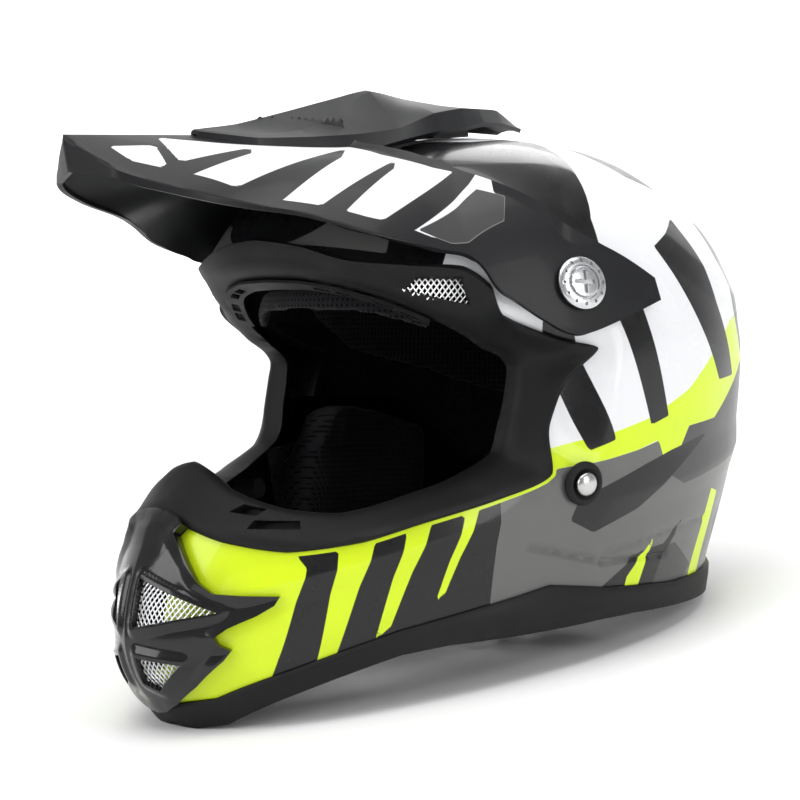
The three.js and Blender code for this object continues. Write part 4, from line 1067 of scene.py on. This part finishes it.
def build_peak():
    def place(u, v, side):
        point = peak_point(u, v)
        if side:
            return point
        return point + sheet_normal(peak_point, u, v) * PEAK_THICKNESS

    peak = plate("peak_shell", place, 252, 56, PEAK_PAINT, 30)
    hole = [(0, -4), (5, -4), (5, 20), (0, 20)]
    carve(peak, *(turned("hole", hole, SCREW_SEAT * flip, SCREW_AXIS * flip, RUBBER, 40)
                  for flip in (np.ones(3), MIRROR)))
    bevel(peak, 0.7, 3, 45)
    p = points_of(peak)
    plan = np.column_stack([np.abs(p[:, 0]), p[:, 1]])
    ash = area_distance(plan, PEAK_ASH)
    white = np.maximum(nearest_area(plan, PEAK_WHITE), -nearest_area(plan, PEAK_SLASHES))
    # the underside stays black
    normals = np.zeros(len(p) * 3)
    peak.data.vertices.foreach_get("normal", normals)
    below = normals.reshape(-1, 3)[:, 2] < 0.15
    mark(peak, "ash", ash)
    mark(peak, "night", np.where(below, -3, np.maximum(-white, -ash)))
    return own(peak, "peak", "peak_plastic", "peak")


build_peak()

# y, ridge height, then distance from the middle and height of the upper crease, the lower
# crease and the lower edge
CREST = [
    [-160, 263, 1.5, 262.6, 2.5, 262, 3, 257],
    [-137, 266.6, 12, 261.4, 16.5, 259.4, 17.5, 252],
    [-110, 273.6, 13, 264.6, 20.5, 261, 22, 252],
    [-83, 281, 8, 275, 23.5, 263.6, 28.5, 256],
    [-61, 286.8, 3, 286, 25, 267.4, 30, 262],
    [-40, 284.2, 4, 283.5, 25.5, 275.5, 30, 267],
    [-21, 281.8, 9, 281.3, 23, 279, 27.5, 270],
    [-7, 281, 12, 280.7, 20, 279.8, 24, 273],
    [10, 281, 9, 280.8, 14, 280.4, 18, 274],
    [31, 274.6, 3, 274.4, 6, 274, 9, 273],
]
CREST_ROUNDING = 0.4  # how far the crest follows a curve from row to row
CREST_THICKNESS = 2


def build_crest():
    def place(u, v, side):
        rows = CREST_ROUNDING * flowing(CREST, v) + (1 - CREST_ROUNDING) * along(CREST, v)
        y, ridge, x1, z1, x2, z2, x3, z3 = np.moveaxis(rows, -1, 0)
        xs = np.column_stack([-x3, -x2, -x1, 0 * y, x1, x2, x3])
        zs = np.column_stack([z3, z2, z1, ridge, z1, z2, z3])
        w = u * 6
        j = np.minimum(w.astype(int), 5)
        f = w - j
        row = np.arange(len(w))
        x, z = (line[row, j] + (line[row, j + 1] - line[row, j]) * f for line in (xs, zs))
        if side == 0:
            z = z - CREST_THICKNESS
            x = x * 0.93
        return np.column_stack([x, y, z])

    crest = plate("peak_fin", place, 120, 216, SATIN)
    # the crest's facets are flat
    crest.data.polygons.foreach_set("use_smooth", [False] * len(crest.data.polygons))
    return own(crest, "peak", "peak_plastic", "peak_crest")


build_crest()

# ---------------------------------------------------------------- fasteners

def build_screw(suffix, flip):
    seat, axis = SCREW_SEAT * flip, SCREW_AXIS * flip
    side, other = square_to(axis)
    low = PEAK_CLEARANCE + PEAK_THICKNESS + 1.2
    head = turned(f"side_screw_{suffix}", [
        (0, -7), (3, -7), (3, low), (11.6, low), (12, low + 0.4), (12, low + 1.4), (11.3, low + 2.2),
        (8.6, low + 2.9), (8.0, low + 2.9), (7.6, low + 1.9), (7.1, low + 1.9), (6.8, low + 3.2),
        (6.2, low + 3.5), (0, low + 3.7)], seat, axis, ALUMINIUM, 120)
    dimple = [(0, low + 1.2), (0.75, low + 1.2), (0.75, low + 4), (0, low + 4)]
    dimples = []
    for n in range(12):
        angle = n * math.pi / 6
        spot = seat + (side * math.cos(angle) + other * math.sin(angle)) * 9.9
        dimples.append(turned("dimple", dimple, spot, axis, ALUMINIUM, 16))
    carve(head, *dimples)
    faces = [[3, 2, 1, 0], [4, 5, 6, 7], [0, 1, 5, 4], [1, 2, 6, 5], [2, 3, 7, 6], [3, 0, 4, 7]]
    slots = []
    for a, b in ((side, other), (other, side)):
        corners = [seat + axis * h + a * s * 5.2 + b * w * 0.95
                   for h in (low + 2.3, low + 5) for s, w in ((-1, -1), (1, -1), (1, 1), (-1, 1))]
        slots.append(solid("slot", corners, faces, ALUMINIUM))
    for slot in slots:
        carve(head, slot)
    bevel(head, 0.18, 2, 40)
    return own(head, f"peak_screw_{suffix}", "screw_aluminium", f"peak_screw_{suffix}")


RIVET_PHI, RIVET_Z = np.float64(80.0), 105.0
RIVET_SEAT = skin(RIVET_PHI, RIVET_Z)
RIVET_AXIS = slice_normal(RIVET_PHI, slice_of(RIVET_Z))


def build_rivet(suffix, flip):
    seat, axis = RIVET_SEAT * flip, RIVET_AXIS * flip
    washer = turned(f"rivet_ring_{suffix}", [
        (4.2, 0.9), (9.6, 0.9), (10, 1.5), (10, 2.4), (9.4, 3.3), (8.3, 3.9), (7.2, 3.9), (6.4, 3.2),
        (5.6, 2.6), (4.2, 2.4)], seat, axis, RUBBER, 72)
    own(washer, "helmet", "trim_rubber", f"rivet_washer_{suffix}")
    head = [(5.4 * math.cos(a), 4.2 + 2.7 * math.sin(a)) for a in np.linspace(0, math.pi / 2, 9)]
    outline = [(0, -14), (3, -14), (3, 3.3), (5.2, 3.3)] + head
    rivet = turned(f"rivet_stud_{suffix}", outline, seat, axis, STEEL, 64)
    own(rivet, "helmet", "steel", f"strap_rivet_{suffix}")


for suffix, flip in (("left", np.ones(3)), ("right", MIRROR)):
    build_screw(suffix, flip)
    build_rivet(suffix, flip)

# ---------------------------------------------------------------- padding

CLOTH_FRAMES = 20


def relax(piece, times):
    smoothing = piece.modifiers.new("relax", "SMOOTH")
    smoothing.factor = 0.5
    smoothing.iterations = times


def puffed(piece, voxel, cap):
    """Remeshes a pad and blows it up a little as cloth; the move of any point is capped."""
    remesh = piece.modifiers.new("voxels", "REMESH")
    remesh.mode = "VOXEL"
    remesh.voxel_size = voxel / 1000
    applied(piece)
    start = points_of(piece)
    cloth = piece.modifiers.new("cloth", "CLOTH")
    cloth.settings.use_pressure = True
    cloth.settings.uniform_pressure_force = 4
    cloth.settings.mass = 0.15
    cloth.settings.tension_stiffness = 12
    cloth.settings.compression_stiffness = 12
    cloth.settings.effector_weights.gravity = 0
    cloth.point_cache.frame_start = 1
    cloth.point_cache.frame_end = CLOTH_FRAMES
    for step in range(1, CLOTH_FRAMES + 1):
        bpy.context.scene.frame_set(step)
    applied(piece)
    bpy.context.scene.frame_set(1)
    offset = points_of(piece) - start
    length = np.linalg.norm(offset, axis=1, keepdims=True)
    moved = start + offset * np.minimum(1, cap / np.maximum(length, 1e-6))
    piece.data.vertices.foreach_set("co", standing(moved).ravel())
    relax(piece, 3)
    fine = piece.modifiers.new("fine", "SUBSURF")
    fine.levels = fine.render_levels = 1
    applied(piece)
    shade(piece, 60)


def skin_patch(lower, upper, low, high, columns, rows):
    """A pad between two lines of (phi, z) and two heights over the skin."""
    def place(u, v, side):
        a, b = flowing(lower, u), flowing(upper, u)
        corner = a + (b - a) * v[:, None]
        return skin(corner[:, 0], corner[:, 1], np.full(len(u), high if side else low))

    return plate("pad", place, columns, rows, FABRIC)


def pad(name, node, piece, cap, voxel=4.0):
    puffed(piece, voxel, cap)
    piece.name = name
    mark_weave(piece)
    own(piece, "helmet", "pad_fabric", node)


for suffix, flip in (("left", 1), ("right", -1)):
    lower = flipped([(73, 70), (88, 68), (110, 68)], flip)
    upper = flipped([(75, 130), (88, 132), (110, 118)], flip)
    patch = skin_patch(lower, upper, -43.5, -20.5, 14, 10)
    pad(f"cheek_cushion_{suffix}", f"cheek_pad_{suffix}", patch, 2.4)
lower, upper = both_sides([(0, 191), (26, 188), (46, 179)]), both_sides([(0, 207), (26, 204), (46, 197)])
pad("brow_cushion", "brow_pad", skin_patch(lower, upper, -34.5, -30.5, 44, 4), 0.8, 2.2)
lower, upper = both_sides([(0, 38), (26, 42), (47, 56)]), both_sides([(0, 74), (26, 72), (47, 78)])
pad("chin_cushion", "chin_pad", skin_patch(lower, upper, -29, -24.2, 40, 6), 1.2, 3.0)
lower, upper = [(124, 62), (180, 62), (236, 62)], [(124, 86), (180, 84), (236, 86)]
pad("neck_cushion", "neck_roll", skin_patch(lower, upper, -24, -12.5, 40, 6), 1.8)


def build_crown_pad():
    columns, rings = 96, 24
    hem = [(0, 213), (60, 207), (90, 162), (130, 137), (180, 127)]
    turn, t, faces = dome(hem, columns, rings)
    hollow = cheek_hollow(turn, slice_values(t)[:, 0])[:, None]
    sheets = []
    for height in (-30.4, -36):
        sheet = slice_point(turn, t) + slice_normal(turn, t) * (height - hollow)
        sheets.append(np.vstack([TOP_POINT + [0, 0, height], sheet]))
    edge = ring_edges(1 + (rings - 1) * columns, columns)
    return solid("pad", np.vstack(sheets), thickened(faces, len(sheets[0]), edge), FABRIC)


pad("crown_cushion", "crown_pad", build_crown_pad(), 1.2, 3.5)

# ---------------------------------------------------------------- chin strap

PIVOT = np.array([0, RIVET_SEAT[1], RIVET_Z])
SLING_LOW = 41
SLING = [(103, 114), (103, 105), (101, 85), (96, 66), (91, 55), (82, 47), (66, 43), (46, 41.5),
         (20, SLING_LOW), (0, SLING_LOW)]
RINGS_X = 42
SNAP_X = -30


def hanging(points):
    """The strap hangs straight down in the standing attitude."""
    return standing(PIVOT) + (np.asarray(points, float) - PIVOT) / 1000


def build_strap(name, line, node):
    """Webbing along a line of (x, z), with rounded edges and a cloth coordinate along it."""
    rows, columns = 10, 150
    u = np.linspace(0, 1, columns + 1)
    centre = flowing(line, u)
    way = np.gradient(centre, axis=0)
    way /= np.linalg.norm(way, axis=1, keepdims=True)
    out = np.column_stack([way[:, 1], -way[:, 0]])
    length = np.concatenate([[0], np.cumsum(np.linalg.norm(np.diff(centre, axis=0), axis=1))])
    profile = [(-11, 0.0), (-10.6, 0.7), (-9.6, 0.95)] + [(w, 0.8) for w in np.linspace(-8, 8, rows)]
    profile += [(9.6, 0.95), (10.6, 0.7), (11, 0)]
    section = profile + [(w, -h) for w, h in profile[-2:0:-1]]
    points, weave = [], []
    for (x, z), (ox, oz), run in zip(centre, out, length):
        for w, h in section:
            points.append((x + ox * h, RIVET_SEAT[1] + w, z + oz * h))
            weave.append((run, w, h))
    count = len(section)
    faces = bands(columns + 1, count)
    faces += [list(range(count))[::-1], [columns * count + j for j in range(count)]]
    strap = solid(name, points, faces, WEBBING, 50, hanging)
    mark(strap, "weave", np.array(weave))
    return own(strap, "chin_strap", "webbing", node)


build_strap("strap_short", [p for p in SLING if p[0] > RINGS_X + 3], "chin_strap_short")
build_strap("strap_long", flipped(SLING, -1) + [(22, SLING_LOW)], "chin_strap_long")


def build_ring(name, level, node):
    """A D ring lying flat at a level over the sling's lowest point."""
    wire, segments = 1.5, 16
    corners = np.array([(0, -13), (0, 13), (-10, 11), (-16, 0), (-10, -11)], float)
    fine = []
    for n, corner in enumerate(corners):
        before, after = corners[n - 1], corners[(n + 1) % len(corners)]
        a = corner + (before - corner) * 0.32
        b = corner + (after - corner) * 0.32
        fine += [(1 - t) ** 2 * a + 2 * t * (1 - t) * corner + t * t * b for t in np.linspace(0, 1, 10)]
    line = np.array(fine)
    way = np.roll(line, -1, axis=0) - np.roll(line, 1, axis=0)
    way /= np.linalg.norm(way, axis=1, keepdims=True)
    out = np.column_stack([way[:, 1], -way[:, 0]])
    sections = np.zeros((len(line), segments, 3))
    for j, a in enumerate(np.linspace(0, 2 * math.pi, segments, endpoint=False)):
        sections[:, j, :2] = line + out * wire * math.cos(a) + [RINGS_X, RIVET_SEAT[1]]
        sections[:, j, 2] = SLING_LOW + level + wire * math.sin(a)
    return own(loop(name, sections, STEEL, 60, hanging), "chin_strap", "steel", node)


build_ring("ring_upper", 2, "d_ring_upper")
build_ring("ring_lower", -2, "d_ring_lower")


def build_snap():
    outline = [(0, 1.3), (6.1, 1.3), (6.5, 1.7), (6.5, 2.4), (6.1, 2.8), (5, 3.2), (4.4, 3.7), (0, 3.9)]
    segments = 64
    angles = np.linspace(0, 2 * math.pi, segments, endpoint=False)
    sections = np.zeros((segments, len(outline), 3))
    for j, (radius, depth) in enumerate(outline):
        radius = max(radius, 1e-3)
        sections[:, j, 0] = SNAP_X + radius * np.cos(angles)
        sections[:, j, 1] = RIVET_SEAT[1] + radius * np.sin(angles)
        sections[:, j, 2] = SLING_LOW - depth
    snap = loop("snap_button", sections, STEEL, 40, hanging)
    return own(snap, "chin_strap", "steel", "strap_snap")


build_snap()

# ---------------------------------------------------------------- carried-over CAD nodes

CARRIED = {
    "eps_liner": CRUSH, "chin_liner_left": CRUSH, "chin_liner_right": CRUSH, "mouth_filter": FILTER,
    "brow_duct_strip": RUBBER, "cheek_snap_front_left": SNAP, "cheek_snap_front_right": SNAP,
    "cheek_snap_rear_left": SNAP, "cheek_snap_rear_right": SNAP, "peak_centre_bracket": SNAP,
    "screw_insert_left": STEEL, "screw_insert_right": STEEL, "strap_anchor_left": STEEL,
    "strap_anchor_right": STEEL,
}
for node, material in CARRIED.items():
    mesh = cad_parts[node].data
    mesh.materials.clear()
    mesh.materials.append(material)

# ---------------------------------------------------------------- stage, light and camera

def build_floor():
    """A flat floor that turns up into a round wall far behind."""
    radii = [0.6, 1.5, 3, 4.5, 6, 7, 7.8, 8.3, 8.5, 8.5]
    heights = [0, 0, 0, 0.05, 0.35, 0.9, 1.8, 3, 4.5, 7]
    count, drop = 96, 0.0002
    angles = np.linspace(0, 2 * math.pi, count, endpoint=False)
    points = [(r * math.cos(a), r * math.sin(a), h - drop) for r, h in zip(radii, heights) for a in angles]
    faces = [list(range(count))] + bands(len(radii), count)
    material, tree, shader = look("floor_look", specular_ior_level=0.1)
    colour = blend(tree, noise(tree, 2, 2), (0.90, 0.90, 0.90), (0.93, 0.93, 0.93))
    tree.links.new(colour, shader.inputs["Base Color"])
    tree.links.new(remap(tree, noise(tree, 9, 2), 0, 1, 0.85, 0.95), shader.inputs["Roughness"])
    new_piece("floor", points, faces, material, 80)


build_floor()


def soft_light(name, place, aim, size, power):
    lamp = bpy.data.lights.new(name, "AREA")
    lamp.shape = "RECTANGLE"
    lamp.size, lamp.size_y = size
    lamp.energy = power
    holder = bpy.data.objects.new(name, lamp)
    bpy.context.scene.collection.objects.link(holder)
    holder.location = place
    holder.rotation_mode = "QUATERNION"
    holder.rotation_quaternion = (Vector(aim) - Vector(place)).to_track_quat("-Z", "Y")


MIDDLE = (0, 0, 0.14)
soft_light("overhead", (0.1, 0.0, 2.2), MIDDLE, (2.4, 1.6), 44)
soft_light("front_left", (-0.3, -2.2, 1.3), MIDDLE, (1.2, 1.6), 22)
soft_light("side_right", (2.3, 0.2, 0.9), MIDDLE, (1.0, 1.6), 22)
soft_light("behind", (-1.2, 2.2, 1.6), MIDDLE, (1.4, 1.2), 14)
soft_light("backdrop", (-1.6, 1.4, 3.0), (-5.4, 4.6, 1.4), (4, 2), 330)

world = bpy.data.worlds.new("studio")
bpy.context.scene.world = world
world.use_nodes = True
background = next(n for n in world.node_tree.nodes if n.type == "BACKGROUND")
background.inputs[0].default_value = (1, 1, 1, 1)
background.inputs[1].default_value = 0.32
bpy.context.scene.view_settings.view_transform = "Standard"

# the camera looks at the target in the wearing attitude, from an azimuth counted from the face
VIEW_AZIMUTH, VIEW_ELEVATION = math.radians(49.945), math.radians(1.591)
VIEW_DISTANCE = 1149.4
VIEW_TARGET = np.array([0, -39.77, 139.74])


def build_camera():
    back = np.array([math.sin(VIEW_AZIMUTH) * math.cos(VIEW_ELEVATION),
                     -math.cos(VIEW_AZIMUTH) * math.cos(VIEW_ELEVATION), math.sin(VIEW_ELEVATION)])
    right = np.array([math.cos(VIEW_AZIMUTH), math.sin(VIEW_AZIMUTH), 0])
    up = np.cross(back, right)
    lens = bpy.data.cameras.new("camera")
    lens.lens = 107.57
    lens.sensor_width = 36
    lens.clip_end = 60
    holder = bpy.data.objects.new("camera", lens)
    bpy.context.scene.collection.objects.link(holder)
    axes = [TURN @ v for v in (right, up, back)]
    place = standing(VIEW_TARGET + back * VIEW_DISTANCE)
    rows = [[axis[r] for axis in axes] + [place[r]] for r in range(3)]
    holder.matrix_world = Matrix(rows + [[0, 0, 0, 1]])
    bpy.context.scene.camera = holder


build_camera()
